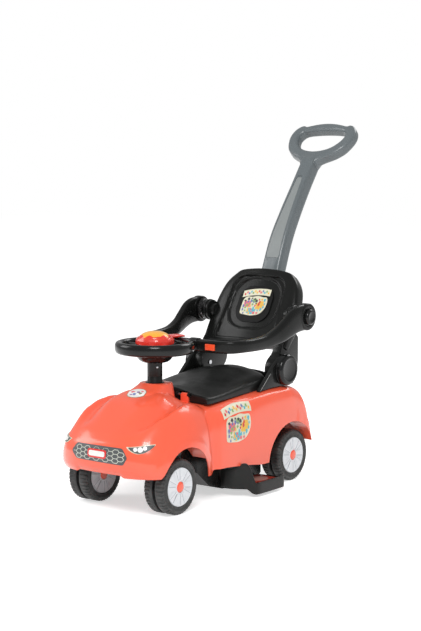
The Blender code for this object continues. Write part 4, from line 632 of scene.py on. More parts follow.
def mirrored(source, wall=0.0):
    """Complete a left half, and give it a wall thickness where asked."""
    helper = temporary(source)
    step = helper.modifiers.new("half", "MIRROR")
    step.merge_threshold = 0.00002
    step.use_clip = True
    if wall:
        step = helper.modifiers.new("wall", "SOLIDIFY")
        step.thickness = wall
        step.offset = -1
        step.use_even_offset = True
    return applied(helper)


# Body shell

BODY_STATIONS = [
    Station(-0.346, -0.268, 0.148, 0.100, 0.1004, 0.1004, 3.6),
    Station(-0.3545, -0.266, 0.1525, 0.100, 0.117, 0.115, 3.6),
    Station(-0.357, -0.262, 0.1545, 0.100, 0.143, 0.136, 3.5),
    Station(-0.351, -0.256, 0.156, 0.099, 0.167, 0.160, 3.4),
    Station(-0.334, -0.248, 0.157, 0.097, 0.186, 0.186, 3.3),
    Station(-0.310, -0.238, 0.157, 0.094, 0.205, 0.210, 3.2),
    Station(-0.281, -0.224, 0.157, 0.090, 0.227, 0.233, 3.2),
    Station(-0.249, -0.206, 0.157, 0.085, 0.247, 0.252, 3.2),
    Station(-0.215, -0.186, 0.1565, 0.080, 0.260, 0.262, 3.3),
    Station(-0.183, -0.166, 0.155, 0.076, 0.268, 0.264, 3.4),
    Station(-0.156, -0.148, 0.152, 0.073, 0.268, 0.260, 3.6),
    Station(-0.132, -0.129, 0.1475, 0.072, 0.256, 0.252, 4.0),
    Station(-0.112, -0.111, 0.1446, 0.073, 0.2385, 0.2400, 4.8),
    Station(-0.100, -0.100, 0.1440, 0.077, 0.2344, 0.2344, 5.3),
    Station(-0.090, -0.090, 0.1440, 0.081, 0.2345, 0.2345, 5.8),
    Station(-0.060, -0.060, 0.1465, 0.0815, 0.2359, 0.2359, 6.5),
    Station(0.030, 0.030, 0.1525, 0.074, 0.2400, 0.2400, 9.0),
    Station(0.090, 0.090, 0.1545, 0.067, 0.24275, 0.24275, 12.0),
    Station(0.150, 0.150, 0.156, 0.070, 0.2455, 0.2455, 13.0),
    Station(0.200, 0.200, 0.1565, 0.080, 0.2455, 0.2455, 13.0),
    Station(0.2420, 0.240, 0.1560, 0.086, 0.2436, 0.2400, 9.0),
    Station(0.2640, 0.261, 0.1555, 0.090, 0.2320, 0.2280, 7.5),
    Station(0.2780, 0.275, 0.1550, 0.092, 0.2100, 0.2070, 6.5),
    Station(0.2880, 0.284, 0.1540, 0.093, 0.1740, 0.1710, 6.0),
    Station(0.2970, 0.293, 0.1525, 0.094, 0.1330, 0.1310, 6.0),
    Station(0.3030, 0.299, 0.1510, 0.094, 0.1060, 0.1050, 6.0),
    Station(0.3070, 0.303, 0.1500, 0.094, 0.0944, 0.0944, 6.0),
]
VALLEY_MIDDLE = [
    (-0.31, 0.078), (-0.28, 0.089), (-0.24, 0.098), (-0.20, 0.096), (-0.16, 0.088), (-0.11, 0.078)
]
VALLEY_DEPTH = [
    (-0.322, 0), (-0.308, 0.004), (-0.285, 0.012), (-0.25, 0.017), (-0.20, 0.017), (-0.16, 0.013),
    (-0.125, 0.006), (-0.108, 0)
]
CREST_RISE = [(-0.325, 0), (-0.30, 0.003), (-0.265, 0.0065), (-0.20, 0.0060), (-0.14, 0.0028), (-0.11, 0)]


def hood_relief(x, y):
    """Two scooped valleys part the raised middle of the hood from the fenders."""
    middle = along(VALLEY_MIDDLE, y)
    depth = 1.2 * along(VALLEY_DEPTH, y)
    inner, outer = 0.050, 0.027
    if x < middle:
        share = smooth((x - (middle - inner)) / inner)
    else:
        share = smooth((middle + outer - x) / outer)
    rise = along(CREST_RISE, y) * exp(-(((x - middle - outer) / 0.016) ** 2))
    return rise - depth * share


def body_moved(p):
    """The body's sides: the groove behind the front fender, flared arches and a deeper skirt."""
    x, y, z = p
    edge = smooth((x - 0.115) / 0.02)
    if edge > 0 and z < 0.232:
        fall = smooth((0.232 - z) / 0.03)
        groove_y = -0.106 + 0.012 * smooth((0.2 - z) / 0.12)
        groove = 0.0075 * exp(-(((y - groove_y) / 0.012) ** 2))
        door = 0.0018 * smooth((y + 0.083) / 0.003) * smooth((0.02 - y) / 0.08)
        x += edge * fall * (door - groove)
        for (ay, az, radius), reach in ((FRONT_ARCH, 0.024), (REAR_ARCH, 0.020)):
            distance = hypot(y - ay, z - az) - radius
            if distance < reach + 0.004 and z > 0.09:
                x += edge * 0.0022 * (1 - smooth((distance - reach + 0.004) / 0.006))
    if y < -0.25 and z < 0.135:
        x_abs = abs(x)
        z -= 0.0055 * smooth((x_abs - 0.058) / 0.014) * (1 - smooth((z - 0.100) / 0.030))
    return Vector((x, y, z))


def hump_mesh():
    """The raised seat of the steering column, with a rolled upper edge and an upright back."""
    rings = []
    levels = (
        (0.055, 1.42), (0.036, 1.29), (0.026, 1.21), (0.018, 1.16), (0.013, 1.12), (0.009, 1.085),
        (0.005, 1.05), (0.0025, 1.025), (0.0008, 0.995), (0, 0.96)
    )
    for drop, scale in levels:
        ring = superellipse_ring(0.037 * scale, 0.031 * scale, 3, 72)
        middle = COLUMN_Y + 0.005 - 0.031 * max(scale - 1, 0)
        ramp = 0.034 * smooth((drop - 0.001) / 0.022)
        rings.append([(a, middle + b - ramp * smooth(-b / 0.030), HUMP_TOP - drop) for a, b in ring])
    return loft(rings)


def roof_height(y):
    """Height of the body's flat roof at a place along the car."""
    share = min(max((y + 0.090) / 0.240, 0), 1)
    return 0.2345 + 0.011 * share


def body():
    """The skin of the body with its arches, hump, seat opening, hinge lugs and inner bosses."""
    stations = denser(BODY_STATIONS, 0.0045)
    shell = mirrored(draped_half(stations, hood_relief, moved=body_moved), WALL)
    volume = mirrored(draped_half(stations, hood_relief, True, moved=body_moved))
    shrink = Matrix.Diagonal((1 - 0.0015 / 0.157, 1 - 0.003 / 0.664, 1, 1))
    volume.transform(Matrix.Translation((0, -0.025, 0.0015)) @ shrink @ Matrix.Translation((0, 0.025, 0)))
    steps = Steps()
    for y, z, radius in (FRONT_ARCH, REAR_ARCH):
        for side in (1, -1):
            ends = sorted((side * 0.110, side * 0.2))
            trims = Steps([("INTERSECT", volume.copy())])
            if y < 0:
                trims.cut(block((-0.2, y - 0.15, 0), (0.2, y + 0.15, 0.118)))
            band = combined(rod(radius + WALL, *ends, "X", (y, z), 96), trims)
            steps.union(band)
    steps.union(hump_mesh())
    for y, z, radius in (FRONT_ARCH, REAR_ARCH):
        steps.cut(rod(radius, -0.25, 0.25, "X", (y, z), 96))
    for sign in (1, -1):
        x = sign * WHEEL_X
        steps.cut(block((x - 0.016, -0.245, 0.149), (x + 0.016, -0.203, 0.190)))
        for x, y, base, top in ((0.060, -0.215, DECK_TOP, 0.2502), (0.066, 0.215, 0.1128, 0.2445)):
            steps.union(rod(0.007, base, top, "Z", (sign * x, y), 24))
    outline = rounded_box_outline((-0.094, -0.080), (0.094, 0.160), 0.018)
    steps.cut(plate(outline, 0.08, "XY", 0.24))
    steps.cut(rod(0.0213, 0.2, 0.3, "Z", (0, COLUMN_Y), 64))
    y, z = SEAT_HINGE
    for sign in (1, -1):
        base = roof_height(y) - 0.002
        lug = [(y - 0.0058, base), (y + 0.0050, base)] + arc((y, z), 0.0048, 5, 170, 15)
        steps.union(plate(lug, 0.022, "YZ", sign * 0.0540, bevel=0.0006))
        steps.cut(rod(0.0035, sign * 0.03, sign * 0.07, "X", (y, z), 24))
    shell = combined(shell, steps)
    return piece("body_skin", shell, "coral", "car_body", ["body_shell"], crease=38)


SKIN_PIECE = body()

# Seat lid


def seat_lid():
    """The padded-looking lid of the bin, with two ears on its hinge pins."""
    front, rear, half = -0.095, 0.188, 0.120
    low = [roof_height(y) + GAP for y in (front, 0, rear)]
    stations = [
        Station(front, front + 0.004, half - 0.006, low[0], low[0] + 0.0004, low[0] + 0.0004, 5),
        Station(front - 0.0002, front + 0.003, half - 0.004, low[0], 0.2600, 0.2520, 5),
        Station(front + 0.006, front + 0.007, half - 0.001, low[0], 0.2680, 0.2550, 5),
        Station(front + 0.030, front + 0.030, half, roof_height(front + 0.03) + GAP, 0.2680, 0.2540, 5.5),
        Station(-0.030, -0.030, half, roof_height(-0.03) + GAP, 0.2660, 0.2560, 6),
        Station(0.015, 0.015, half, roof_height(0.015) + GAP, 0.2650, 0.2620, 6),
        Station(0.060, 0.058, half, roof_height(0.06) + GAP, 0.2700, 0.2680, 6),
        Station(0.105, 0.093, half, roof_height(0.105) + GAP, 0.2800, 0.2740, 5),
        Station(0.145, 0.112, half - 0.001, roof_height(0.13) + GAP, 0.2890, 0.2790, 4.5),
        Station(0.170, 0.121, half - 0.003, roof_height(0.15) + GAP, 0.2900, 0.2810, 4.2),
        Station(0.182, 0.126, half - 0.005, low[2], 0.2840, 0.2760, 4),
        Station(rear, 0.129, half - 0.007, low[2], 0.2680, 0.2640, 4),
        Station(rear, 0.130, half - 0.008, low[2], low[2] + 0.0004, low[2] + 0.0004, 4),
    ]

    def dish(x, y):
        """A shallow seat pan that keeps the lid's rim."""
        reach = smooth((0.098 - x) / 0.05) * smooth((y + 0.070) / 0.05) * smooth((0.165 - y) / 0.06)
        return -0.0018 * reach

    y, z = SEAT_HINGE
    lid = mirrored(draped_half(denser(stations, 0.004), dish), WALL)
    steps = Steps()
    for sign in (1, -1):
        ear = rod(0.0055, sign * 0.0274, sign * 0.0686, "X", (y, z), 40)
        steps.union(ear)
        ends = sorted((sign * (0.034 - GAP), sign * (0.062 + GAP)))
        steps.cut(block((ends[0], y - 0.02, 0.2), (ends[1], y + 0.0068, z + 0.0075)))
    lid = combined(lid, steps)
    return piece("seat_top", lid, "black_satin", "seat", ["seat_lid"], crease=40)


seat_lid()

# Wheels


def tyre_profile():
    """Outer half of a tyre: hub recess, ringed side wall, shoulder and tread band."""
    low = HALF_WIDTH - 0.007
    wall = [(0.0045, low), (0.0462, low), (0.0462, HALF_WIDTH - 0.0012), (0.0470, HALF_WIDTH - 0.0002)]
    for ring in (0.0492, 0.0524, 0.0556):
        wall += [
            (ring - 0.0006, HALF_WIDTH - 0.0006), (ring, HALF_WIDTH), (ring + 0.0006, HALF_WIDTH - 0.0006)
        ]
        wall += [(ring + 0.0010, HALF_WIDTH - 0.0010)]
    wall += [(0.0596, HALF_WIDTH - 0.0008), (0.0618, HALF_WIDTH - 0.0020), (0.0638, HALF_WIDTH - 0.0036)]
    wall += [
        (0.0650, HALF_WIDTH - 0.0055), (0.0650, HALF_WIDTH - 0.0110), (0.0650, 0.0085), (0.0642, 0.0055),
        (0.0628, 0.0042)
    ]
    return wall


LUGS = 44


def lugged(radius, height, turn, index):
    """Shoulder lugs: the tread's edge steps in and out round the tyre."""
    beat = (turn * LUGS / (2 * pi)) % 1
    gap = smooth((abs(beat - 0.5) - 0.24) / 0.06)
    reach = smooth((radius - 0.0600) / 0.002) * smooth((abs(height) - 0.0150) / 0.004)
    inward = 0.0008 if height > 0 else -0.0008
    return radius - 0.0020 * gap * reach, height - inward * gap * reach


def hub_disc(radius, height, turn, index):
    """Pairs of thin grooves between the spokes of a hubcap."""
    sector = 2 * pi / 10
    beat = (turn + sector / 2) % sector - sector / 2
    near = min(abs(beat - 0.075), abs(beat + 0.075))
    inside = smooth((radius - 0.0165) / 0.002) * smooth((0.0425 - radius) / 0.002)
    groove = (1 - smooth(near * radius / 0.0009)) * inside
    return radius, height - 0.0011 * groove


def wheel(name, side, y, front, body):
    """A wheel: two discs in front or one at the rear, each with a hubcap and a centre cap."""
    origin = (side * WHEEL_X, y, WHEEL_RADIUS)
    discs = (("", side),) if not front else (("_outer", side), ("_inner", -side))
    for suffix, facing in discs:
        half = tyre_profile()
        if front:
            loop = half + [(0.0600, 0.0040), (0.0045, 0.0040)]
        else:
            inner = [(r, -h) for r, h in reversed(half) if r > 0.0464]
            loop = half + [(0.0520, 0.0038), (0.0500, 0.0030), (0.0500, -0.0030), (0.0520, -0.0038)] + inner
            loop += [
                (0.0462, -HALF_WIDTH + 0.0012), (0.0440, -HALF_WIDTH + 0.003), (0.0045, -HALF_WIDTH + 0.003)
            ]
        tyre = turned(loop, LUGS * 8, True, lugged, "X", facing, origin)
        piece("tyre_" + name + suffix, tyre, "tyre", body, ["wheel_" + name + suffix], crease=35)
        top = HALF_WIDTH - 0.0012
        face = [
            (0.0128, top - 0.003), (0.0128, top + 0.0002), (0.0134, top + 0.0008), (0.0152, top + 0.0008),
            (0.0160, top)
        ]
        face += [(0.0160 + 0.0265 * i / 24, top) for i in range(1, 25)]
        face += [
            (0.0434, top + 0.0005), (0.0444, top + 0.0004), (0.0452, top - 0.0010),
            (0.0452, HALF_WIDTH - 0.0067)
        ]
        face += [(0.0128, HALF_WIDTH - 0.0067)]
        cap = turned(face, 720, True, hub_disc, "X", facing, origin)
        piece("hub_disc_" + name + suffix, cap, "hub", body, ["hubcap_" + name + suffix], crease=50)
        top = HALF_WIDTH + 0.0013
        dome = [
            (0, top), (0.004, top - 0.00005), (0.0080, top - 0.0003), (0.0105, top - 0.0010),
            (0.0119, top - 0.0022), (0.0125, top - 0.0036), (0.0125, HALF_WIDTH - 0.0040),
            (0, HALF_WIDTH - 0.0040)
        ]
        # Thin grey strips on each hubcap's face are painted shade for its grooves.
        lines = []
        for i in range(6):
            for offset in (-0.17, 0.17):
                strip = block((0.0170, -0.00035, HALF_WIDTH - 0.0018), (0.0422, 0.00035, HALF_WIDTH - 0.0009))
                strip.transform(Matrix.Rotation(i * pi / 3 + offset + 0.2, 4, "Z"))
                strip.transform(Matrix.Translation(origin) @ Matrix.Rotation(facing * pi / 2, 4, "Y"))
                lines.append(strip)
        piece("hub_groove_shade_" + name + suffix, joined(lines), "line_grey", body, (), "hub_grey")
        centre = turned(dome, 64, False, None, "X", facing, origin)
        piece(
            "hub_centre_" + name + suffix, centre, "coral", body, ["centre_cap_" + name + suffix], crease=40
        )


wheel("front_left", 1, FRONT_AXLE_Y, True, "front_left_wheel")
wheel("front_right", -1, FRONT_AXLE_Y, True, "front_right_wheel")
wheel("rear_left", 1, REAR_AXLE_Y, False, "rear_left_wheel")
wheel("rear_right", -1, REAR_AXLE_Y, False, "rear_right_wheel")

# Steering column, wheel and horn


DOME_FLOOR = 0.3835


def steering_column():
    """The turning column and the collar round it in the body."""
    column = [
        (0, 0.352), (0.0168, 0.352), (0.0180, 0.3508), (0.0180, 0.2990), (0.0177, 0.2985), (0.0180, 0.2980),
        (0.0180, DECK_TOP + 0.006), (0.0190, DECK_TOP + 0.005), (0.0236, DECK_TOP + 0.005),
        (0.0240, DECK_TOP + 0.0046), (0.0240, DECK_TOP), (0.0090, DECK_TOP), (0.0090, 0.1500), (0, 0.1500)
    ]
    shaft = turned(column, 72, origin=COLUMN_FOOT)
    piece("column_tube", shaft, "black_satin", "steering", ["steering_column"])
    lip = [
        (0.0225, 0.2838), (0.0222, 0.2842), (0.0216, 0.2844), (0.0186, 0.2844), (0.0183, 0.2840),
        (0.0183, 0.2550), (0.0210, 0.2550), (0.0210, 0.2831), (0.0225, 0.2831)
    ]
    piece("column_collar", turned(lip, 72, True, origin=COLUMN_FOOT), "black", "car_body", ["column_bush"])


SPOKE_SECTIONS = (
    (0.025, 0.014, 0.0070), (0.045, 0.0125, 0.0065), (0.060, 0.0105, 0.0058), (0.074, 0.0112, 0.0060),
    (0.0835, 0.0130, 0.0066)
)


def steering_wheel():
    """The rim, three spokes and the cup under the horn."""
    ring = superellipse_ring(0.0095, 0.0140, 2.5, 36)
    loop = [(RING_RADIUS + a, RING_Z + 0.0008 + b) for a, b in reversed(ring)]
    rim = turned(loop, 144, True, origin=COLUMN_FOOT)
    cup = [
        (0, 0.3760), (0.0375, 0.3760), (0.0440, 0.3745), (0.0478, 0.3705), (0.0486, 0.3660),
        (0.0482, 0.3600), (0.0462, 0.3520), (0.0426, 0.3440), (0.0376, 0.3375), (0.0318, 0.3334),
        (0.0262, 0.3318), (0.0183, 0.3318), (0.0183, 0.3523), (0, 0.3523)
    ]
    hub = turned(cup, 96, origin=COLUMN_FOOT)
    steps = Steps()
    for heading in (0, 90, 180):
        rings = []
        for reach, half, deep in SPOKE_SECTIONS:
            rings.append([(reach, a, 0.3680 + b) for a, b in superellipse_ring(half, deep, 2.8, 28)])
        spoke = loft(rings)
        spoke.transform(Matrix.Translation(COLUMN_FOOT) @ Matrix.Rotation(radians(heading), 4, "Z"))
        steps.union(spoke)
    steps.union(hub)
    piece("wheel_rim", combined(rim, steps), "black_gloss", "steering", ["steering_wheel"], crease=48)


TAIL_SECTIONS = (
    (0.0420, 0.0185, 0.0105), (0.0520, 0.0150, 0.0100), (0.0620, 0.0132, 0.0094), (0.0720, 0.0132, 0.0088),
    (0.0820, 0.0142, 0.0082), (0.0910, 0.0160, 0.0074), (0.0950, 0.0162, 0.0064), (0.0970, 0.0152, 0.0046)
)


def horn():
    """The red base with its tail, the yellow dome that is pressed, and the dome's wavy collar."""
    seat = 0.3800
    base = [
        (0, seat), (0.0388, seat), (0.0388, seat + 0.0100), (0.0394, seat + 0.0110),
        (0.0424, seat + 0.0110), (0.0434, seat + 0.0102), (0.0450, seat + 0.0072), (0.0460, seat + 0.0048),
        (0.0463, seat + 0.0030), (0.0462, seat - 0.0010), (0.0458, 0.3763), (0, 0.3763)
    ]

    def scalloped(radius, height, turn, index):
        """The base's flank swells and narrows like a dripping edge."""
        swell = smooth((radius - 0.0400) / 0.004) * smooth((height - 0.3765) / 0.002)
        return radius - 0.0011 * swell * (1 - cos(9 * turn)) / 2, height

    ring = turned(base, 144, False, scalloped, origin=COLUMN_FOOT)
    rings = []
    low = 0.3825
    for reach, half, tall in TAIL_SECTIONS:
        section = superellipse_ring(half, tall / 2, 2.6, 32)
        rings.append([(a, COLUMN_Y + reach, low + tall / 2 + b) for a, b in section])
    ring = combined(ring, [("UNION", loft(rings))])
    piece("horn_ring", ring, "red", "steering", ["horn_base"], crease=40)
    dome = [
        (0, 0.0225), (0.006, 0.0224), (0.012, 0.0218), (0.018, 0.0206), (0.023, 0.0190), (0.028, 0.0167),
        (0.032, 0.0141), (0.0355, 0.0108), (0.0374, 0.0082), (0.0383, 0.0055)
    ]
    cap = [(r, DOME_FLOOR + h) for r, h in dome] + [(0.0383, DOME_FLOOR), (0, DOME_FLOOR)]
    piece(
        "horn_dome", turned(cap, 96, origin=COLUMN_FOOT), "yellow", "horn", ["horn_button"],
        slot="horn_yellow"
    )

    def dome_height(radius):
        return along(dome, radius)

    def drips(radius, height, turn, index):
        """The red collar climbs the dome to a wavy upper edge."""
        edge = 0.0338 + 0.0020 * sin(7 * turn + 0.6) + 0.0011 * sin(11 * turn)
        if index > 5:
            radius = 0.0370 if index == 7 else edge
            return radius, DOME_FLOOR + dome_height(radius) - 0.0012
        radius = 0.0378 + (edge - 0.0378) * (0, 0.15, 0.4, 0.7, 0.92, 1.0)[index]
        lift = 0.0006 if index < 5 else -0.0002
        return radius, DOME_FLOOR + dome_height(min(radius, 0.0382)) + lift

    collar = turned([(0.03, 0.4)] * 8, 288, True, drips, origin=COLUMN_FOOT)
    piece("horn_drips", collar, "red", "horn", (), slot="horn_red", crease=60)


steering_column()
steering_wheel()
horn()

# Backrest

BACK_FRAME = leaning(BACK_LEAN, *BACK_LOW)
STUB_HALF, STUB_LOW, STUB_REAR, STUB_FRONT = 0.0225, 0.102, -0.0600, -0.0252
BACK_INSETS = [
    (0.0300, 0.0001), (0.0550, 0.0006), (0.0900, 0.0022), (0.1200, 0.0053), (0.1435, 0.0098),
    (0.1650, 0.0160), (0.1810, 0.0246), (0.1935, 0.0352)
]


def back_stations(depth, crown, foot):
    """Stations up the backrest; foot is the share of its depth at the lower edge."""
    half, length = BACK_HALF_WIDTH, BACK_LENGTH
    side = depth - crown
    near = foot + (1 - foot) * 0.2
    stations = [
        Station(0, 0, half - 0.0030, 0, depth * foot * 0.74, side * foot * 0.70, 5),
        Station(0.0012, 0.0012, half - 0.0010, 0, depth * foot * 0.88, side * foot * 0.86, 5),
        Station(0.0040, 0.0040, half, 0, depth * foot * 0.97, side * foot * 0.97, 5),
        Station(0.0110, 0.0110, half, 0, depth * near, side * near, 5),
    ]
    for level, inset in BACK_INSETS:
        share = foot + (1 - foot) * smooth(level / 0.055)
        boxiness = 5 - 1.4 * max(level - 0.15, 0) / (length - 0.15)
        stations.append(Station(level, level, half - inset, 0, depth * share, side * share, boxiness))
    stations.append(
        Station(length - 0.0060, length - 0.0080, half - 0.0480, 0, depth * 0.985, side * 0.985, 3.8)
    )
    stations.append(
        Station(length - 0.0025, length - 0.0064, half - 0.0570, 0, depth * 0.91, side * 0.91, 3.5)
    )
    stations.append(
        Station(length - 0.0006, length - 0.0060, half - 0.0630, 0, depth * 0.72, side * 0.72, 3.2)
    )
    stations.append(Station(length, length - 0.0060, half - 0.0660, 0, depth * 0.5, side * 0.5, 3.0))
    return stations


def inside_panel(x, v):
    """Distance inside the panel's edge: a trapezoid with round corners."""
    half = 0.0886 - 0.0086 * (v - 0.012) / (BACK_LENGTH - 0.035)
    side, low, high = half - abs(x), v - 0.012, BACK_LENGTH - 0.023 - v
    result = min(side, low, high)
    for reach, radius in ((low, 0.010), (high, 0.034)):
        if side < radius and reach < radius:
            result = min(result, radius - hypot(radius - side, radius - reach))
    return result


def inside_oval(x, v):
    """Distance inside the bowl's egg-shaped edge."""
    turn = atan2((v - 0.1135) / 0.0755, x / 0.0785)
    reach = 1 - 0.06 * cos(2 * turn) ** 2 + 0.05 * abs(sin(2 * turn))
    return (reach - hypot(x / 0.0785, (v - 0.1135) / 0.0755)) * 0.076


def back_relief(x, v):
    """The panel and the egg-shaped bowl pressed in the front of the backrest."""
    panel = inside_panel(x, v)
    oval = min(inside_oval(x, v), panel + 0.002)
    depth = 0.0058 * smooth((panel + 0.001) / 0.0035) + 0.0045 * smooth(oval / 0.0045)
    rolled = 0.0009 * exp(-(((panel + 0.0022) / 0.0016) ** 2))
    rolled += 0.0010 * exp(-(((oval + 0.0020) / 0.0016) ** 2)) * smooth(panel / 0.004)
    return rolled - depth


def post_outline(grow):
    """Side view of a post that carries the backrest, let out by grow."""
    y, z = POST_CENTRE
    outline = arc(POST_CENTRE, POST_RADIUS + grow, 120, 300, 37)
    outline += [
        (y + 0.060 + grow, z - 0.018 - grow), (y + 0.070 + grow, z - 0.008), (y + 0.0755 + grow, z + 0.002)
    ]
    outline += [(y + 0.0775 + grow, z + 0.014), (y + 0.0775 + grow, z + 0.074)]
    outline += [(y + 0.068, z + 0.084 + grow), (y + 0.020 - grow, z + 0.078 + grow)]
    outline += [
        (y + 0.0035 - grow, z + 0.060), (y + 0.0012 - grow, z + 0.051), (y - 0.0018 - grow, z + 0.0435)
    ]
    return outline + [(y - 0.0075 - grow, z + 0.0368)]


def backrest():
    """The front half with its posts and the rear half that closes it, with a socket for the handle."""
    shares = [0.86 * i / 84 for i in range(85)]
    walls = [(i + 1) / 12 for i in range(12)]
    tilt = BACK_FRAME @ Matrix.Translation((0, 0, -BACK_SPLIT))
    stations = denser(back_stations(BACK_SPLIT, 0.004, 1), 0.0014)
    front = draped_half(stations, back_relief, True, shares, walls)
    front.transform(tilt)
    front = mirrored(front)
    rear_depth = BACK_DEPTH - BACK_SPLIT - GAP
    shares = [0.86 * i / 30 for i in range(31)]
    rear = draped_half(denser(back_stations(rear_depth, 0.012, 0.2), 0.004), None, True, shares, walls)
    rear.transform(tilt @ Matrix.Translation((0, 0, -GAP)) @ Matrix.Diagonal((1, 1, -1, 1)))
    bmesh.ops.reverse_faces(rear, faces=rear.faces)
    rear = mirrored(rear)
    front_steps, rear_steps = Steps(), Steps()
    width = POST_X[1] - POST_X[0]
    for sign in (1, -1):
        middle = sign * (POST_X[0] + POST_X[1]) / 2
        front_steps.union(plate(post_outline(0), width, "YZ", middle, bevel=0.0016))
        rear_steps.cut(plate(post_outline(GAP), width + 2 * GAP, "YZ", middle))
        for radius, reach in ((0.0160, 0.020), (0.0255, 0.007)):
            ends = (sign * (BACK_HALF_WIDTH - reach), sign * (GUARD_BOSS_X[0] - GAP))
            front_steps.union(bevelled(rod(radius, *ends, "X", GUARD_PIVOT, 72), 0.0012, 2))
            ends = (sign * (BACK_HALF_WIDTH - reach - GAP), sign * (BACK_HALF_WIDTH + 0.01))
            rear_steps.cut(rod(radius + GAP, *ends, "X", GUARD_PIVOT, 72))
    room = block((-STUB_HALF, STUB_LOW, STUB_REAR), (STUB_HALF, BACK_LENGTH + 0.05, STUB_FRONT))
    room.transform(BACK_FRAME)
    room = mesh_of(room)
    front_steps.cut(room)
    rear_steps.cut(room.copy())
    piece("back_front", combined(front, front_steps), "black", "car_body", ["backrest_front"], crease=38)
    piece("back_rear", combined(rear, rear_steps), "black", "car_body", ["backrest_rear"], crease=38)


backrest()


def side_discs():
    """The dished covers over the backrest's bolts."""
    for name, sign in (("left", 1), ("right", -1)):
        t, r = DISC_THICK, DISC_RADIUS + 0.0030
        loop = [
            (0, t - 0.0016), (r - 0.0140, t - 0.0018), (r - 0.0125, t - 0.0014), (r - 0.0112, t - 0.0002),
            (r - 0.0098, t), (r - 0.0070, t - 0.0001), (r - 0.0045, t - 0.0009), (r - 0.0024, t - 0.0024),
            (r - 0.0008, t - 0.0044), (r, t - 0.0070), (r, 0.0040), (r - 0.0006, 0.0034),
            (r - 0.0006, 0.0026), (r, 0.0020), (r, 0), (0, 0)
        ]
        origin = (sign * (CHEEK_X[1] + GAP), POST_CENTRE[0], POST_CENTRE[1] + 0.0008)
        disc = turned(loop, 96, False, None, "X", sign, origin)
        piece("pivot_disc_" + name, disc, "black_gloss", "car_body", ["side_disc_" + name], crease=40)


side_discs()

# Guard ring

GUARD_ARM_X = (GUARD_DISC_X[0] + GUARD_DISC_X[1]) / 2
GUARD_PATH = [
    (GUARD_ARM_X, *GUARD_PIVOT),
    (GUARD_ARM_X, 0.2120, 0.4140),
    (GUARD_ARM_X - 0.0020, 0.1840, 0.4050),
    (GUARD_ARM_X - 0.0060, 0.1570, 0.3900),
    (GUARD_ARM_X - 0.0110, 0.1300, 0.3775),
    (GUARD_ARM_X - 0.0150, 0.0940, 0.3675),
    (GUARD_ARM_X - 0.0175, 0.0530, 0.3645),
    (GUARD_ARM_X - 0.0230, 0.0120, GUARD_BAR[1] + 0.001),
    (GUARD_ARM_X - 0.0390, GUARD_BAR[0] + 0.014, GUARD_BAR[1]),
    (GUARD_ARM_X - 0.0680, GUARD_BAR[0] + 0.0025, GUARD_BAR[1]),
    (0.0600, *GUARD_BAR),
]
GUARD_HALVES = [0.0325, 0.0330, 0.0325, 0.0275, 0.0215, 0.0175, 0.0155, 0.0150, 0.0150, 0.0150, 0.0150]
GUARD_ACROSS = [0.0090, 0.0092, 0.0095, 0.0098, 0.0100, 0.0100, 0.0100, 0.0100, 0.0100, 0.0100, 0.0100]


def guard_rings(side, ends):
    """Sections along one arm from its pivot to the bar, then on to the given ends in x."""
    steps = 8
    path = curve_through(GUARD_PATH, steps)
    sizes = curve_through([(a, b, 0) for a, b in zip(GUARD_ACROSS, GUARD_HALVES)], steps)
    rings = []
    for i, place in enumerate(path):
        ahead = path[min(i + 1, len(path) - 1)] - path[max(i - 1, 0)]
        ahead = Vector((ahead.x, ahead.y, 0)).normalized()
        across = ahead.cross(Vector((0, 0, 1)))
        power = 3.0 + 2.4 * smooth((i - 52) / 20)
        ring = superellipse_ring(sizes[i].x, sizes[i].y, power, 48)
        rings.append([place + across * a + Vector((0, 0, b)) for a, b in ring])
    for x in ends:
        ring = superellipse_ring(0.0100, 0.0150, 5.4, 48)
        rings.append([Vector((x, GUARD_BAR[0] + a, GUARD_BAR[1] + b)) for a, b in ring])
    return [[(side * p[0], p[1], p[2]) for p in ring] for ring in rings]


GUARD_JOINT = 0.045
BUTTON_X = 0.0830
BUTTON_Z = GUARD_BAR[1] - 0.001
BUTTON_FLOOR = GUARD_BAR[0] - 0.0025


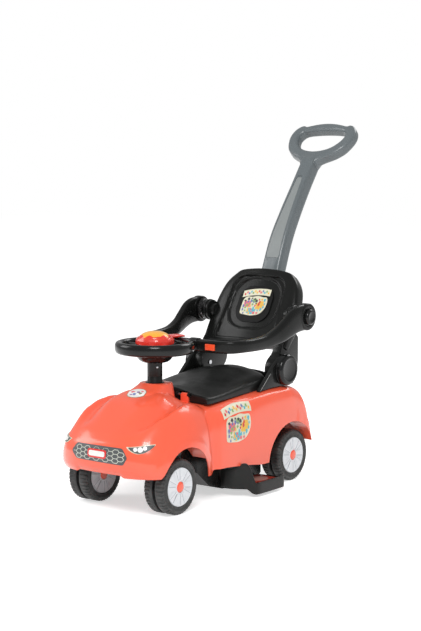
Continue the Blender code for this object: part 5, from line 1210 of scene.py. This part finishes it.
def guard_side(name, side, ends):
    """One arm with the disc at its end, the disc's knob and the boss that it turns on."""
    y, z = GUARD_PIVOT
    arm = loft(guard_rings(side, ends))
    low, high = GUARD_DISC_X
    deep = high - low
    loop = [
        (0, deep - 0.0030), (0.0212, deep - 0.0030), (0.0220, deep - 0.0026), (0.0226, deep - 0.0012),
        (0.0236, deep - 0.0003), (0.0250, deep), (0.0310, deep), (0.0326, deep - 0.0007),
        (0.0337, deep - 0.0022), (0.0340, deep - 0.0042), (0.0340, 0.0024), (0.0334, 0.0008), (0.0320, 0),
        (0, 0)
    ]
    disc = turned(loop, 96, False, None, "X", side, (side * low, y, z))
    steps = Steps()
    steps.union(disc)
    if side > 0:
        low_corner = (BUTTON_X - 0.0147, GUARD_BAR[0] - 0.03, BUTTON_Z - 0.0082)
        pocket = block(low_corner, (BUTTON_X + 0.0147, BUTTON_FLOOR, BUTTON_Z + 0.0082))
        steps.cut(bevelled(pocket, 0.0008, 2))
    arm = combined(arm, steps)
    piece("arm_" + name, arm, "black", "guard_" + name, ["guard_arm_" + name], crease=40)
    knob = [
        (0, 0.0078), (0.0060, 0.0080), (0.0110, 0.0086), (0.0138, 0.0095), (0.0152, 0.0095),
        (0.0172, 0.0088), (0.0188, 0.0072), (0.0197, 0.0050), (0.0200, 0.0020), (0.0200, 0.0003),
        (0, 0.0003)
    ]
    knob = [(r, h - 0.0003 if h > 0.001 else 0) for r, h in knob]
    cap = turned(knob, 72, False, None, "X", side, (side * (high + GAP), y, z))
    piece("arm_knob_" + name, cap, "black_gloss", "guard_" + name, ["guard_knob_" + name], crease=40)
    boss_low, boss_high = GUARD_BOSS_X
    depth = boss_high - boss_low
    loop = [
        (0, depth), (0.0268, depth), (0.0278, depth - 0.0010), (0.0278, depth - 0.0085),
        (0.0271, depth - 0.0095), (0.0245, depth - 0.0102), (0.0240, depth - 0.0108), (0.0240, 0.0066),
        (0.0245, 0.0060), (0.0266, 0.0052), (0.0272, 0.0044), (0.0272, 0.0008), (0.0264, 0), (0, 0)
    ]

    def knurled(radius, height, turn, index):
        """Fine flutes round the waist of the boss."""
        waist = 1 if 0.0235 < radius < 0.0250 else 0.35 if 0.0262 <= radius < 0.0280 else 0
        return radius - 0.0007 * waist * (0.5 - 0.5 * cos(36 * turn)), height

    boss = turned(loop, 288, False, knurled, "X", side, (side * boss_low, y, z))
    piece("arm_boss_" + name, boss, "black_gloss", "car_body", ["guard_boss_" + name], crease=50)


def guard_joint():
    """The ribbed sleeve over the joint of the two arms, and the release button."""
    rings = []
    for step in range(27):
        x = GUARD_JOINT - GAP - 0.0257 * step / 26
        edge = min(step, 26 - step)
        scale = 0.93 + 0.07 * smooth(edge / 2.5) - 0.018 * (step % 4 in (1, 2)) * (2 < step < 24)
        section = superellipse_ring(0.0130 * scale, 0.0180 * scale, 3.0, 56)
        rings.append([(x, GUARD_BAR[0] + a, GUARD_BAR[1] + b) for a, b in section])
    piece("joint_sleeve", loft(rings), "black_gloss", "guard_right", (), crease=30)
    button = bevelled(block((-0.0140, -0.0025, -0.0075), (0.0140, 0.0025, 0.0075)), 0.0010, 3)
    steps = Steps()
    for x in (-0.0060, -0.0020, 0.0020, 0.0060):
        steps.cut(rod(0.0006, -0.0050, 0.0050, "Z", (x, -0.0027), 16))
    button = combined(button, steps)
    button.transform(Matrix.Translation((BUTTON_X, BUTTON_FLOOR - 0.0055, BUTTON_Z)))
    piece("release_key", button, "orange", "guard_release", ["release_button"])


guard_side("left", 1, [0.0465, GUARD_JOINT + GAP])
guard_side("right", -1, [0.040, 0.020, 0.0, -0.022, -GUARD_JOINT + GAP])
guard_joint()

# Push handle

HANDLE_FRONT = [(0.3180, 0.5050), (0.3580, 0.6000), (0.4020, 0.6720), (0.4540, 0.7450), (0.4950, 0.8000)]
HANDLE_WIDTHS = [0.0560, 0.0530, 0.0470, 0.0415, 0.0410]
HANDLE_DEPTH = 0.042
GRIP_LEAN = radians(45)
GRIP_BASE = (0.5098, 0.7912)
GRIP_RISE = 0.005
GRIP_OUTLINE = [
    (0.0205, -0.009), (0.0240, -0.002), (0.0315, 0.0062), (0.0430, 0.0142), (0.0560, 0.0210),
    (0.0720, 0.0315), (0.0890, 0.050), (0.1000, 0.078), (0.1020, 0.100), (0.0960, 0.120), (0.0850, 0.132),
    (0.0740, 0.136), (0.0640, 0.133), (0.0480, 0.137), (0.0250, 0.142), (0.0000, 0.144)
]
GRIP_WINDOW = [
    (0.0000, 0.038), (0.0280, 0.042), (0.0500, 0.053), (0.0660, 0.072), (0.0720, 0.090), (0.0690, 0.104),
    (0.0590, 0.113), (0.0300, 0.117), (0.0000, 0.118)
]


def handle_frames(steps):
    """Centre, outward front direction and half width at stations up the curved shaft."""
    points = curve_through([(0, y, z) for y, z in HANDLE_FRONT], steps)
    widths = curve_through([(width, 0, 0) for width in HANDLE_WIDTHS], steps)
    frames = []
    for i, place in enumerate(points):
        ahead = (points[min(i + 1, len(points) - 1)] - points[max(i - 1, 0)]).normalized()
        frames.append((place, Vector((0, -ahead.z, ahead.y)), widths[i].x / 2))
    return frames


def fine_outline(half, steps=6):
    """A smooth closed outline through a half outline and its mirror image."""
    whole = half + [(-x, y) for x, y in reversed(half) if x > 1e-6]
    count = len(whole)
    result = []
    for i in range(count):
        before, first, second, after = (Vector(whole[(i + k) % count]) for k in (-1, 0, 1, 2))
        if i == count - 1 and half[0][0] > 0.001:
            result.append(tuple(first))
            continue
        for step in range(steps):
            result.append(tuple(between(before, first, second, after, step / steps)))
    return result


def push_handle():
    """The curved shaft with its stub in the backrest, the looped grip and the bare label plate."""
    rings = []
    for place, outward, half in handle_frames(12):
        middle = place - outward * HANDLE_DEPTH / 2
        ring = superellipse_ring(half, HANDLE_DEPTH / 2, 5.5, 64)
        rings.append([middle + Vector((a, 0, 0)) + outward * b for a, b in ring])
    spine = Vector((0, sin(GRIP_LEAN), cos(GRIP_LEAN)))
    facing = Vector((0, -cos(GRIP_LEAN), sin(GRIP_LEAN)))
    base = Vector((0, *GRIP_BASE)) + spine * GRIP_RISE
    neck = [
        (0.000, 0.0212, 0.0204, 0.0249), (0.006, 0.0226, 0.0192, 0.0247), (0.014, 0.0256, 0.0178, 0.0232),
        (0.022, 0.0290, 0.0164, 0.0200), (0.030, 0.0318, 0.0150, 0.0160)
    ]
    for level, half, ahead, behind in neck:
        ring = superellipse_ring(half, (ahead + behind) / 2, 5, 64)
        middle = base + spine * level + facing * (ahead - behind) / 2
        rings.append([middle + Vector((a, 0, 0)) + facing * b for a, b in ring])
    handle = loft(rings)
    trim = block((-0.05, STUB_LOW, -0.1), (0.05, BACK_LENGTH + GAP, 0.02))
    trim.transform(BACK_FRAME)
    low = (-STUB_HALF + GAP, STUB_LOW + GAP, STUB_REAR + GAP)
    stub = block(low, (STUB_HALF - GAP, BACK_LENGTH + 0.012, STUB_FRONT - GAP))
    stub.transform(BACK_FRAME)
    grip = plate(fine_outline(GRIP_OUTLINE), 0.032, "XY", 0, [fine_outline(GRIP_WINDOW)], 0.0100, 6)
    grip.transform(leaning(GRIP_LEAN, *GRIP_BASE) @ Matrix.Translation((0, GRIP_RISE, 0)))
    label, border = [], []
    frames = handle_frames(12)[5:-8]
    for i, (place, outward, half) in enumerate(frames):
        taper = 0.0212 - 0.0132 * i / (len(frames) - 1)
        end = min(i, len(frames) - 1 - i) / 2
        taper *= 1 - 0.35 * (1 - min(end, 1)) ** 2
        corners = ((-taper, -0.0014), (taper, -0.0014), (taper, 0.004), (-taper, 0.004))
        label.append([place + Vector((a, 0, 0)) + outward * b for a, b in corners])
        if 0 < i < len(frames) - 1:
            half, top = taper - 0.0006, -0.0004
            corners = (
                (-half, -0.0012), (half, -0.0012), (half, top - 0.0004), (half - 0.0005, top),
                (0.0005 - half, top), (-half, top - 0.0004)
            )
            border.append([place + Vector((a, 0, 0)) + outward * b for a, b in corners])
    steps = Steps()
    steps.cut(trim)
    steps.union(stub)
    steps.union(grip)
    steps.cut(loft(label))
    piece("handle_body", combined(handle, steps), "grey", "car_body", ["push_handle"], crease=36)
    piece("handle_plate", loft(border), "grey_light", "car_body", ["handle_label"], crease=30)


push_handle()

# Backrest base and footrests


def back_base():
    """Two cheeks beside the posts, a curved wall and a floor strip on the roof."""
    level = 0.2455 + GAP
    cheek = [(0.093, roof_height(0.093) + GAP), (0.150, level), (0.240, level)]
    cheek += arc(POST_CENTRE, DISC_RADIUS + 0.0015, -5, 135, 33)
    cheek += [(0.1570, 0.3010), (0.1411, 0.2860)]
    width = CHEEK_X[1] - CHEEK_X[0]
    middle = (CHEEK_X[0] + CHEEK_X[1]) / 2
    base = plate(cheek, width, "YZ", middle, bevel=0.0009)
    steps = Steps()
    steps.union(plate(cheek, width, "YZ", -middle, bevel=0.0009))
    side = CHEEK_X[0] + 0.004
    curve = (0, 0.052)
    floor = [(side, 0.150), (side, 0.236), (-side, 0.236), (-side, 0.150)]
    floor += arc(curve, 0.153, 137, 43, 41)
    steps.union(plate(floor, WALL, "XY", level + WALL / 2))
    wall = arc(curve, 0.158, 126, 54, 61) + arc(curve, 0.1535, 54, 126, 61)
    steps.union(plate(wall, 0.032, "XY", level + 0.016, bevel=0.0007))
    steps.cut(rod(0.0033, -0.2, 0.2, "X", POST_CENTRE, 24))
    piece("back_frame", combined(base, steps), "black", "car_body", ["back_base"], crease=36)
    # A thin light grey rod along each cheek's front edge is a painted highlight on the black plastic.
    for name, sign in (("left", 1), ("right", -1)):
        start, end = Vector((0.0945, 0.2440)), Vector((0.1398, 0.2842))
        across = Vector((-(end - start).y, (end - start).x)).normalized()
        rings = []
        for i in range(21):
            place = start + (end - start) * i / 20 - across * 0.0016
            half = 0.0006 * (0.25 + 0.75 * min(i, 20 - i, 2) / 2)
            ring = superellipse_ring(half, half, 2, 12)
            spots = [(a, place + across * b) for a, b in ring]
            rings.append([(sign * (CHEEK_X[1] + a), spot.x, spot.y) for a, spot in spots])
        piece("painted_cheek_highlight_" + name, loft(rings), "edge_light", "car_body", (), "black_plastic")


back_base()


PAD_LOW, PAD_THICK = 0.0238, 0.007


def footrest(name, side):
    """A tray with a front wall that sweeps down into the outer lip, on a tongue in the chassis."""
    low, high = 0.0080, 0.0370
    path = [
        (0.1035, -0.020, 0.0240, 0.0665),
        (0.118, -0.019, 0.0240, 0.0675),
        (0.133, -0.014, 0.0240, 0.0700),
        (0.146, -0.007, 0.0240, 0.0775),
        (0.157, 0.000, 0.0230, 0.0835),
        (0.166, 0.006, 0.0180, 0.0790),
        (0.174, 0.010, 0.0110, 0.0620),
        (0.181, 0.0145, low, 0.0380),
        (0.1845, 0.021, low, high),
        (0.186, 0.040, low, high),
        (0.186, 0.116, low, high),
        (0.1835, 0.125, low + 0.001, high - 0.001),
        (0.176, 0.130, 0.0150, high - 0.003),
        (0.150, 0.131, 0.0190, 0.0300),
        (0.108, 0.131, 0.0190, 0.0280),
    ]
    line = curve_through([(x, y, 0) for x, y, a, b in path], 6)
    rails = curve_through([(a, b, 0) for x, y, a, b in path], 6)
    rings = []
    for i, place in enumerate(line):
        ahead = (line[min(i + 1, len(line) - 1)] - line[max(i - 1, 0)]).normalized()
        across = Vector((-ahead.y, ahead.x, 0))
        bottom, top = rails[i].x, rails[i].y
        ring = superellipse_ring(0.0025, (top - bottom) / 2, 9, 40)
        rings.append([place + across * a + Vector((0, 0, (bottom + top) / 2 + b)) for a, b in ring])
    rings = [[(side * p.x, p.y, p.z) for p in ring] for ring in rings]
    rest = loft(rings)
    floor = [
        (0.1035, -0.019), (0.133, -0.013), (0.157, 0.001), (0.181, 0.016), (0.185, 0.040), (0.185, 0.116),
        (0.176, 0.129), (0.1035, 0.131), (0.1035, 0.100), (0.060, 0.100), (0.060, 0.030), (0.1035, 0.030)
    ]
    steps = Steps()
    steps.union(plate([(side * x, y) for x, y in floor], 0.004, "XY", 0.0215))
    piece(
        "foot_tray_" + name, combined(rest, steps), "black_satin", "car_body", ["footrest_" + name],
        crease=36
    )
    outline = rounded_box_outline((0.110, 0.040), (0.176, 0.118), 0.008, 12)
    outline = [(side * x, y) for x, y in outline]
    pad = mesh_of(plate(outline, PAD_THICK, "XY", PAD_LOW + PAD_THICK / 2, bevel=0.0008, steps=3))
    # The pale oval laid on each pad is a painted highlight on the pad's red plastic.
    turns = [2 * pi * i / 48 for i in range(48)]
    oval = [(side * (0.143 + 0.022 * cos(t)), 0.079 + 0.027 * sin(t)) for t in turns]
    piece("foot_plate_" + name, pad, "pad", "car_body", ["foot_pad_" + name], crease=30)
    painted_highlight_oval = plate(oval, 0.0006, "XY", PAD_LOW + PAD_THICK + 0.0001, bevel=0.0002, steps=2)
    piece("foot_pad_highlight_" + name, painted_highlight_oval, "oval_grey", "car_body", (), "foot_pad_red")


footrest("left", 1)
footrest("right", -1)

# Things laid on the body's skin: grille, lamps, stickers


def skin_tree(skin):
    """A search tree of a finished piece, in the car's own frame."""
    shape = bmesh.new()
    shape.from_mesh(skin.data)
    shape.transform(Matrix.Translation((0, -SHIFT, 0)))
    tree = BVHTree.FromBMesh(shape)
    shape.free()
    return tree


def wrapped(outline, origin, right, up, tree, lift, thick, spacing=0.003, rolled=0.0):
    """Lay a flat shape on the skin along its facing, a fixed height above it, and give it a thickness."""
    right, up, origin = Vector(right).normalized(), Vector(up).normalized(), Vector(origin)
    up = (up - right * up.dot(right)).normalized()
    facing = right.cross(up)
    shape = filled(outline)
    for axis in (0, 1):
        low = min(v.co[axis] for v in shape.verts)
        high = max(v.co[axis] for v in shape.verts)
        count = int((high - low) / spacing)
        for i in range(1, count + 1):
            place = low + (high - low) * i / (count + 1)
            spot = [0, 0, 0]
            spot[axis] = place
            normal = [0, 0, 0]
            normal[axis] = 1
            parts = shape.verts[:] + shape.edges[:] + shape.faces[:]
            bmesh.ops.bisect_plane(shape, geom=parts, plane_co=spot, plane_no=normal)
    bmesh.ops.triangulate(shape, faces=[f for f in shape.faces if len(f.verts) > 4])
    for vert in shape.verts:
        place = origin + right * vert.co.x + up * vert.co.y
        hit, normal, _, _ = tree.ray_cast(place + facing * 0.05, -facing)
        if hit is None:
            hit, normal, _, _ = tree.find_nearest(place)
        vert.co = hit + normal * lift
    bmesh.ops.recalc_face_normals(shape, faces=shape.faces)
    if sum((f.normal for f in shape.faces), Vector()).dot(facing) < 0:
        bmesh.ops.reverse_faces(shape, faces=shape.faces)
    helper = temporary(shape)
    step = helper.modifiers.new("thick", "SOLIDIFY")
    step.thickness = thick
    step.offset = 1
    if rolled:
        step = helper.modifiers.new("edge", "BEVEL")
        step.width = rolled
        step.segments = 2
        step.limit_method = "ANGLE"
        step.angle_limit = radians(60)
    return applied(helper)


PRINT_SLOTS = {"grille_dark": "black_plastic", "print_dark": "black_plastic", "badge_red": "horn_red"}


def print_piece(name, shape, look):
    """A printed or inlaid piece on the body."""
    piece(name, shape, look, "car_body", (), PRINT_SLOTS.get(look, "hub_grey"))


def hexagon(centre, width, height):
    """Corners of a hexagon that lies on its side."""
    corners = ((-0.5, 0), (-0.25, -0.5), (0.25, -0.5), (0.5, 0), (0.25, 0.5), (-0.25, 0.5))
    return [(centre[0] + width * a, centre[1] + height * b) for a, b in corners]


def inside_shape(point, outline):
    """Whether a point is inside a closed outline."""
    result = False
    count = len(outline)
    for i in range(count):
        (x1, y1), (x2, y2) = outline[i], outline[(i + 1) % count]
        if (y1 > point[1]) != (y2 > point[1]) and point[0] < (x2 - x1) * (point[1] - y1) / (y2 - y1) + x1:
            result = not result
    return result


def grille(tree):
    """A dark panel with a net of pale hexagon lines and a bare badge plate."""
    place = (Vector((0.002, -0.36, 0.1465)), Vector((1, 0, 0)), Vector((0, 0.16, 1)), tree)
    outline = [
        (-0.0800, 0.0000), (-0.0640, 0.0190), (0.0680, 0.0195), (0.0840, -0.0010), (0.0740, -0.0180),
        (-0.0630, -0.0170)
    ]
    outline = rounded_profile(outline, 0.005, 5)
    print_piece("grille_panel", wrapped(outline, *place, 0.0002, 0.0008, rolled=0.0003), "grille_dark")
    width, height, line = 0.0180, 0.0098, 0.0009
    strips = []
    for column in range(-8, 9):
        for row in range(-3, 4):
            centre = (column * width * 0.75, row * height + (height / 2 if column % 2 else 0))
            if abs(centre[0] - 0.002) < 0.0270 and abs(centre[1] - 0.001) < 0.0100:
                continue
            outer = hexagon(centre, width, height)
            inner = hexagon(centre, width - 2 * line, height - 1.6 * line)
            for k in range(6):
                a, b = outer[k], outer[(k + 1) % 6]
                middle = ((a[0] + b[0]) / 2, (a[1] + b[1]) / 2)
                if all(inside_shape(p, outline) for p in (a, b, middle)):
                    strip = [a, b, inner[(k + 1) % 6], inner[k]]
                    strips.append(wrapped(strip, *place, 0.0009, 0.0006, 0.006))
    print_piece("grille_net", joined(strips), "net_pale")
    outline = rounded_box_outline((-0.0255, -0.0090), (0.0295, 0.0105), 0.0060, 8)
    print_piece("badge_edge", wrapped(outline, *place, 0.0008, 0.0008, rolled=0.0003), "badge_red")
    outline = rounded_box_outline((-0.0213, -0.0052), (0.0253, 0.0067), 0.0042, 8)
    print_piece("badge_face", wrapped(outline, *place, 0.0014, 0.0004, rolled=0.0001), "white")


def lamps(tree):
    """Almond headlights with three round lenses, set in the corners of the nose."""
    for name, side in (("left", 1), ("right", -1)):
        origin = Vector((side * (0.108 if side > 0 else 0.119), -0.331 if side > 0 else -0.324, 0.1625))
        right = Vector((0.051 * side, 0.038, 0.001)) * side
        up = Vector((0, 0.25, 1))
        place = (origin, right, up, tree)
        eye = [
            (-0.0310, 0.0075), (-0.0180, 0.0070), (-0.0040, 0.0078), (0.0140, 0.0104), (0.0380, 0.0128),
            (0.0320, 0.0060), (0.0220, -0.0020), (0.0100, -0.0078), (-0.0030, -0.0095), (-0.0150, -0.0062),
            (-0.0240, 0.0000)
        ]
        eye = rounded_profile([(side * x, y) for x, y in eye], 0.004, 4)
        print_piece("lamp_edge_" + name, wrapped(eye, *place, 0.0002, 0.0007, 0.0025, 0.0003), "cream")
        inner = [(side * (0.0016 + side * x * 0.90), y * 0.86 - 0.0004) for x, y in eye]
        print_piece(
            "lamp_dark_" + name, wrapped(inner, *place, 0.0009, 0.0006, 0.0025, 0.0002), "grille_dark"
        )
        lenses = ((-0.0088, 0.0006, 0.0046), (0.0022, 0.0000, 0.0060), (0.0128, 0.0030, 0.0046))
        for k, (x, y, radius) in enumerate(lenses):
            turns = [2 * pi * i / 32 for i in range(32)]
            spot = [(side * x + radius * cos(t), y + radius * sin(t)) for t in turns]
            lens = wrapped(spot, *place, 0.0015, 0.0009, 0.002, 0.0003)
            print_piece("lamp_lens_%s_%d" % (name, k), lens, "white")


def layered(name, shapes):
    """One piece for each print colour and layer of (shape, look, layer)."""
    groups = {}
    for shape, look, layer in shapes:
        groups.setdefault((look, layer), []).append(shape)
    for (look, layer), group in groups.items():
        print_piece("%s_%s_%d" % (name, look, layer), joined(group), look)


def sticker(name, parts, *place):
    """Lay the parts of a sticker on the skin."""
    shapes = []
    for outline, look, layer in parts:
        shapes.append((wrapped(outline, *place, 0.0002 + 0.0003 * layer, 0.00025, 0.004), look, layer))
    layered(name, shapes)


def dot(cx, cy, rx, ry, wave=0.0, beats=3, turn=0.0, count=40):
    """An oval outline, waved where asked."""
    points = []
    for i in range(count):
        t = 2 * pi * i / count
        r = 1 + wave * sin(beats * t + turn)
        points.append((cx + rx * r * cos(t), cy + ry * r * sin(t)))
    return points


def banner(cx, cy, half_w, half_h, tilt, sag):
    """A slightly arched ribbon."""
    points = []
    for direction in (1, -1):
        for i in range(17):
            a = direction * (-1 + 2 * i / 16)
            points.append((cx + half_w * a, cy + tilt * a + sag * (1 - a * a) + direction * half_h))
    return points


def sticker_parts(scale):
    """A generic sticker: a pale ribbon over a round-cornered field, strewn with coloured dots and drops."""
    field = [
        (-0.0400, 0.0080), (-0.0300, 0.0190), (-0.0120, 0.0175), (0.0060, 0.0225), (0.0230, 0.0185),
        (0.0380, 0.0195), (0.0425, 0.0040), (0.0400, -0.0160), (0.0260, -0.0330), (0.0000, -0.0385),
        (-0.0250, -0.0360), (-0.0400, -0.0340)
    ]
    field = rounded_profile(field, 0.009, 5)
    ribbon = banner(0.0, 0.0285, 0.0450, 0.0098, 0.0040, 0.0050)
    parts = [(field, "cream", 0), (ribbon, "cream", 1)]
    looks = ["print_" + ink for ink in ("red", "yellow", "cyan", "pink", "yellow", "green", "blue", "dark")]
    large = (
        (-0.022, -0.004, 0.012, 0.010, "pink"), (0.021, -0.006, 0.013, 0.012, "yellow"),
        (-0.006, -0.025, 0.013, 0.009, "cyan"), (0.0, 0.007, 0.009, 0.006, "green")
    )
    for x, y, rx, ry, ink in large:
        parts.append((dot(x, y, rx, ry, 0.08, 4, x * 90), "print_" + ink, 1))
    for i in range(64):
        radius, turn = 0.0052 * sqrt(i + 0.6), i * 2.39996
        place = (0.001 + 1.05 * radius * cos(turn), -0.0085 + 0.86 * radius * sin(turn))
        size = 0.0024 + 0.0007 * (i % 3)
        edge = dot(place[0], place[1], size * 1.35, size * 1.5, 0, 3, 0, 12)
        if all(inside_shape(p, field) for p in edge) and place[1] < 0.0135:
            shape = dot(
                place[0], place[1], size * (0.8 + 0.25 * (i % 2)), size * (1.3 - 0.3 * (i % 2)), 0.12, 3, i
            )
            parts.append((shape, looks[(i * 5) % 8], 2))
    for i in range(13):
        x = -0.0380 + 0.0063 * i
        share = x / 0.0450
        y = 0.0285 + 0.0040 * share + 0.0050 * (1 - share * share) + (0.0022 if i % 2 else -0.0020)
        parts.append((dot(x, y, 0.0026, 0.0034, 0.15, 4, i), looks[(i * 3) % 7], 2))
    return [([(x * scale, y * scale) for x, y in outline], look, layer) for outline, look, layer in parts]


def emblem(tree):
    """An oval emblem on the hood: a pale face with a darker rim and a few plain marks."""
    rim = dot(0, 0, 0.0262, 0.0195, 0, 1, 0, 64)
    face = dot(0, 0, 0.0246, 0.0179, 0, 1, 0, 64)
    parts = [(rim, "print_olive", 0), (face, "white", 1)]
    marks = (
        ("pink", -0.012, 0.003, 0.0055, 0.0035),
        ("blue", -0.0035, -0.0045, 0.0050, 0.0030),
        ("purple", 0.004, 0.003, 0.0045, 0.0032),
        ("olive", 0.0125, -0.001, 0.0048, 0.0030),
        ("pink", 0.0130, 0.0070, 0.0035, 0.0022),
        ("purple", -0.0130, -0.0060, 0.0038, 0.0022),
    )
    for ink, cx, cy, rx, ry in marks:
        parts.append((dot(cx, cy, rx, ry, 0.1, 3), "print_" + ink, 2))
    sticker(
        "emblem", parts, Vector((-0.003, -0.2075, 0.2640)), Vector((1, 0.05, 0.0)), Vector((0.0, 1, 0.50)),
        tree
    )


SKIN = skin_tree(SKIN_PIECE)
grille(SKIN)
lamps(SKIN)
emblem(SKIN)
for side_name, sign in (("left", 1), ("right", -1)):
    place = (Vector((sign * 0.19, -0.0130, 0.1800)), Vector((0, sign, 0)), Vector((0, 0.02, 1)))
    sticker("side_sticker_" + side_name, sticker_parts(1.12), *place, SKIN)


def back_panel_print():
    """A soft dark pad on the backrest's bowl and a generic sticker on it."""
    outline = rounded_box_outline((-0.0520, 0.0600), (0.0520, 0.1620), 0.036, 14)
    pad = plate(outline, 0.0016, "XY", -0.0094, bevel=0.0007, steps=3)
    pad.transform(BACK_FRAME)
    piece("back_pad", pad, "black_matt", "car_body", (), "black_plastic")
    shapes = []
    for outline, look, layer in sticker_parts(0.93):
        shape = plate([(x, 0.1135 + y) for x, y in outline], 0.00025, "XY", -0.0084 + 0.0003 * layer)
        shape.transform(BACK_FRAME)
        shapes.append((shape, look, layer))
    layered("back_sticker", shapes)


back_panel_print()


def screws():
    """Small steel screw heads on the column and on the guard's bosses."""

    def head(name, place, direction, radius, body):
        profile = [
            (0, 0.0008), (radius * 0.55, 0.0010), (radius * 0.9, 0.0006), (radius, 0), (radius, -0.0008),
            (0, -0.0008)
        ]
        disc = turned(profile, 24)
        turn = Vector((0, 0, 1)).rotation_difference(Vector(direction).normalized()).to_matrix().to_4x4()
        disc.transform(Matrix.Translation(place) @ turn)
        piece(name, disc, "steel", body)

    heading = radians(-32)
    place = (0.0183 * cos(heading), COLUMN_Y + 0.0183 * sin(heading), 0.3215)
    head("column_screw", place, (cos(heading), sin(heading), 0), 0.0026, "steering")
    y, z = GUARD_PIVOT
    for name, side in (("left", 1), ("right", -1)):
        x = side * (GUARD_BOSS_X[0] + 0.0140)
        for k, heading in enumerate((-118, -158)):
            t = radians(heading)
            spot = (x, y + 0.0240 * cos(t), z + 0.0240 * sin(t))
            head("boss_screw_%s_%d" % (name, k), spot, (0, cos(t), sin(t)), 0.0024, "car_body")


screws()

# Floor, lights and camera

floor = bmesh.new()
bmesh.ops.create_grid(floor, x_segments=1, y_segments=1, size=12)
floor_object = bpy.data.objects.new("floor", mesh_of(floor, "floor"))
bpy.context.scene.collection.objects.link(floor_object)


def floor_material():
    """A pale floor that the camera sees as plain white except where the toy darkens it."""
    m = Nodes("floor_look")
    m.link("Base Color", (0.93, 0.93, 0.93, 1))
    m.link("Roughness", 0.9)
    m.link("Specular IOR Level", 0.1)
    path = m.add("ShaderNodeLightPath")
    seen = m.math("MAXIMUM", path.outputs["Is Camera Ray"], path.outputs["Is Glossy Ray"])
    seen = m.math("MAXIMUM", seen, path.outputs["Is Transmission Ray"])
    m.link("Emission Color", (1, 1, 1, 1))
    m.link("Emission Strength", m.math("MULTIPLY", seen, 0.56))
    return m.material


floor_object.data.materials.append(floor_material())

world = bpy.data.worlds.new("studio")
bpy.context.scene.world = world
world.use_nodes = True
tree = world.node_tree
background = tree.nodes["Background"]
background.inputs["Color"].default_value = (1, 1, 1, 1)
background.inputs["Strength"].default_value = 0.48
seen = tree.nodes.new("ShaderNodeBackground")
seen.inputs["Color"].default_value = (1, 1, 1, 1)
seen.inputs["Strength"].default_value = 1.0
path = tree.nodes.new("ShaderNodeLightPath")
either = tree.nodes.new("ShaderNodeMath")
either.operation = "MAXIMUM"
tree.links.new(path.outputs["Is Camera Ray"], either.inputs[0])
tree.links.new(path.outputs["Is Transmission Ray"], either.inputs[1])
mixer = tree.nodes.new("ShaderNodeMixShader")
tree.links.new(either.outputs[0], mixer.inputs[0])
tree.links.new(background.outputs[0], mixer.inputs[1])
tree.links.new(seen.outputs[0], mixer.inputs[2])
tree.links.new(mixer.outputs[0], tree.nodes["World Output"].inputs[0])


def lamp(name, place, target, size, power):
    """A rectangular light that faces its target."""
    light = bpy.data.lights.new(name, "AREA")
    light.shape = "RECTANGLE"
    light.size, light.size_y = size
    light.energy = power
    light.color = (1, 1, 1)
    made = bpy.data.objects.new(name, light)
    bpy.context.scene.collection.objects.link(made)
    made.location = place
    made.rotation_euler = (Vector(target) - Vector(place)).to_track_quat("-Z", "Y").to_euler()


lamp("key", (1.6, -2.2, 2.6), (0, 0, 0.3), (1.2, 1.2), 66)
lamp("fill", (-2.6, -1.6, 1.8), (0, 0, 0.3), (1.6, 1.6), 32)
lamp("back", (0.4, 2.6, 2.4), (0, 0, 0.4), (1.8, 1.2), 34)

camera_data = bpy.data.cameras.new("camera")
camera_data.lens = 84.04
camera_data.sensor_width = 36
camera = bpy.data.objects.new("camera", camera_data)
bpy.context.scene.collection.objects.link(camera)
camera.location = (2.199, -2.9464, 0.818)
view = Vector((0.0359, -0.1069, 0.430)) - camera.location
camera.rotation_euler = view.to_track_quat("-Z", "Y").to_euler()
bpy.context.scene.camera = camera
bpy.context.scene.view_settings.view_transform = "Standard"

# The remaining nodes of the frame keep their shapes and get their finishes

STEEL_NODES = (
    "rear_axle", "stub_axle_left", "stub_axle_right", "seat_pin_left", "seat_pin_right", "back_bolt_left",
    "back_bolt_right"
)
for name, node in NODES.items():
    if node.hide_render:
        continue
    look = "steel" if name in STEEL_NODES else "black"
    for slot in node.material_slots:
        slot.link = "OBJECT"
        slot.material = MATERIALS[look]
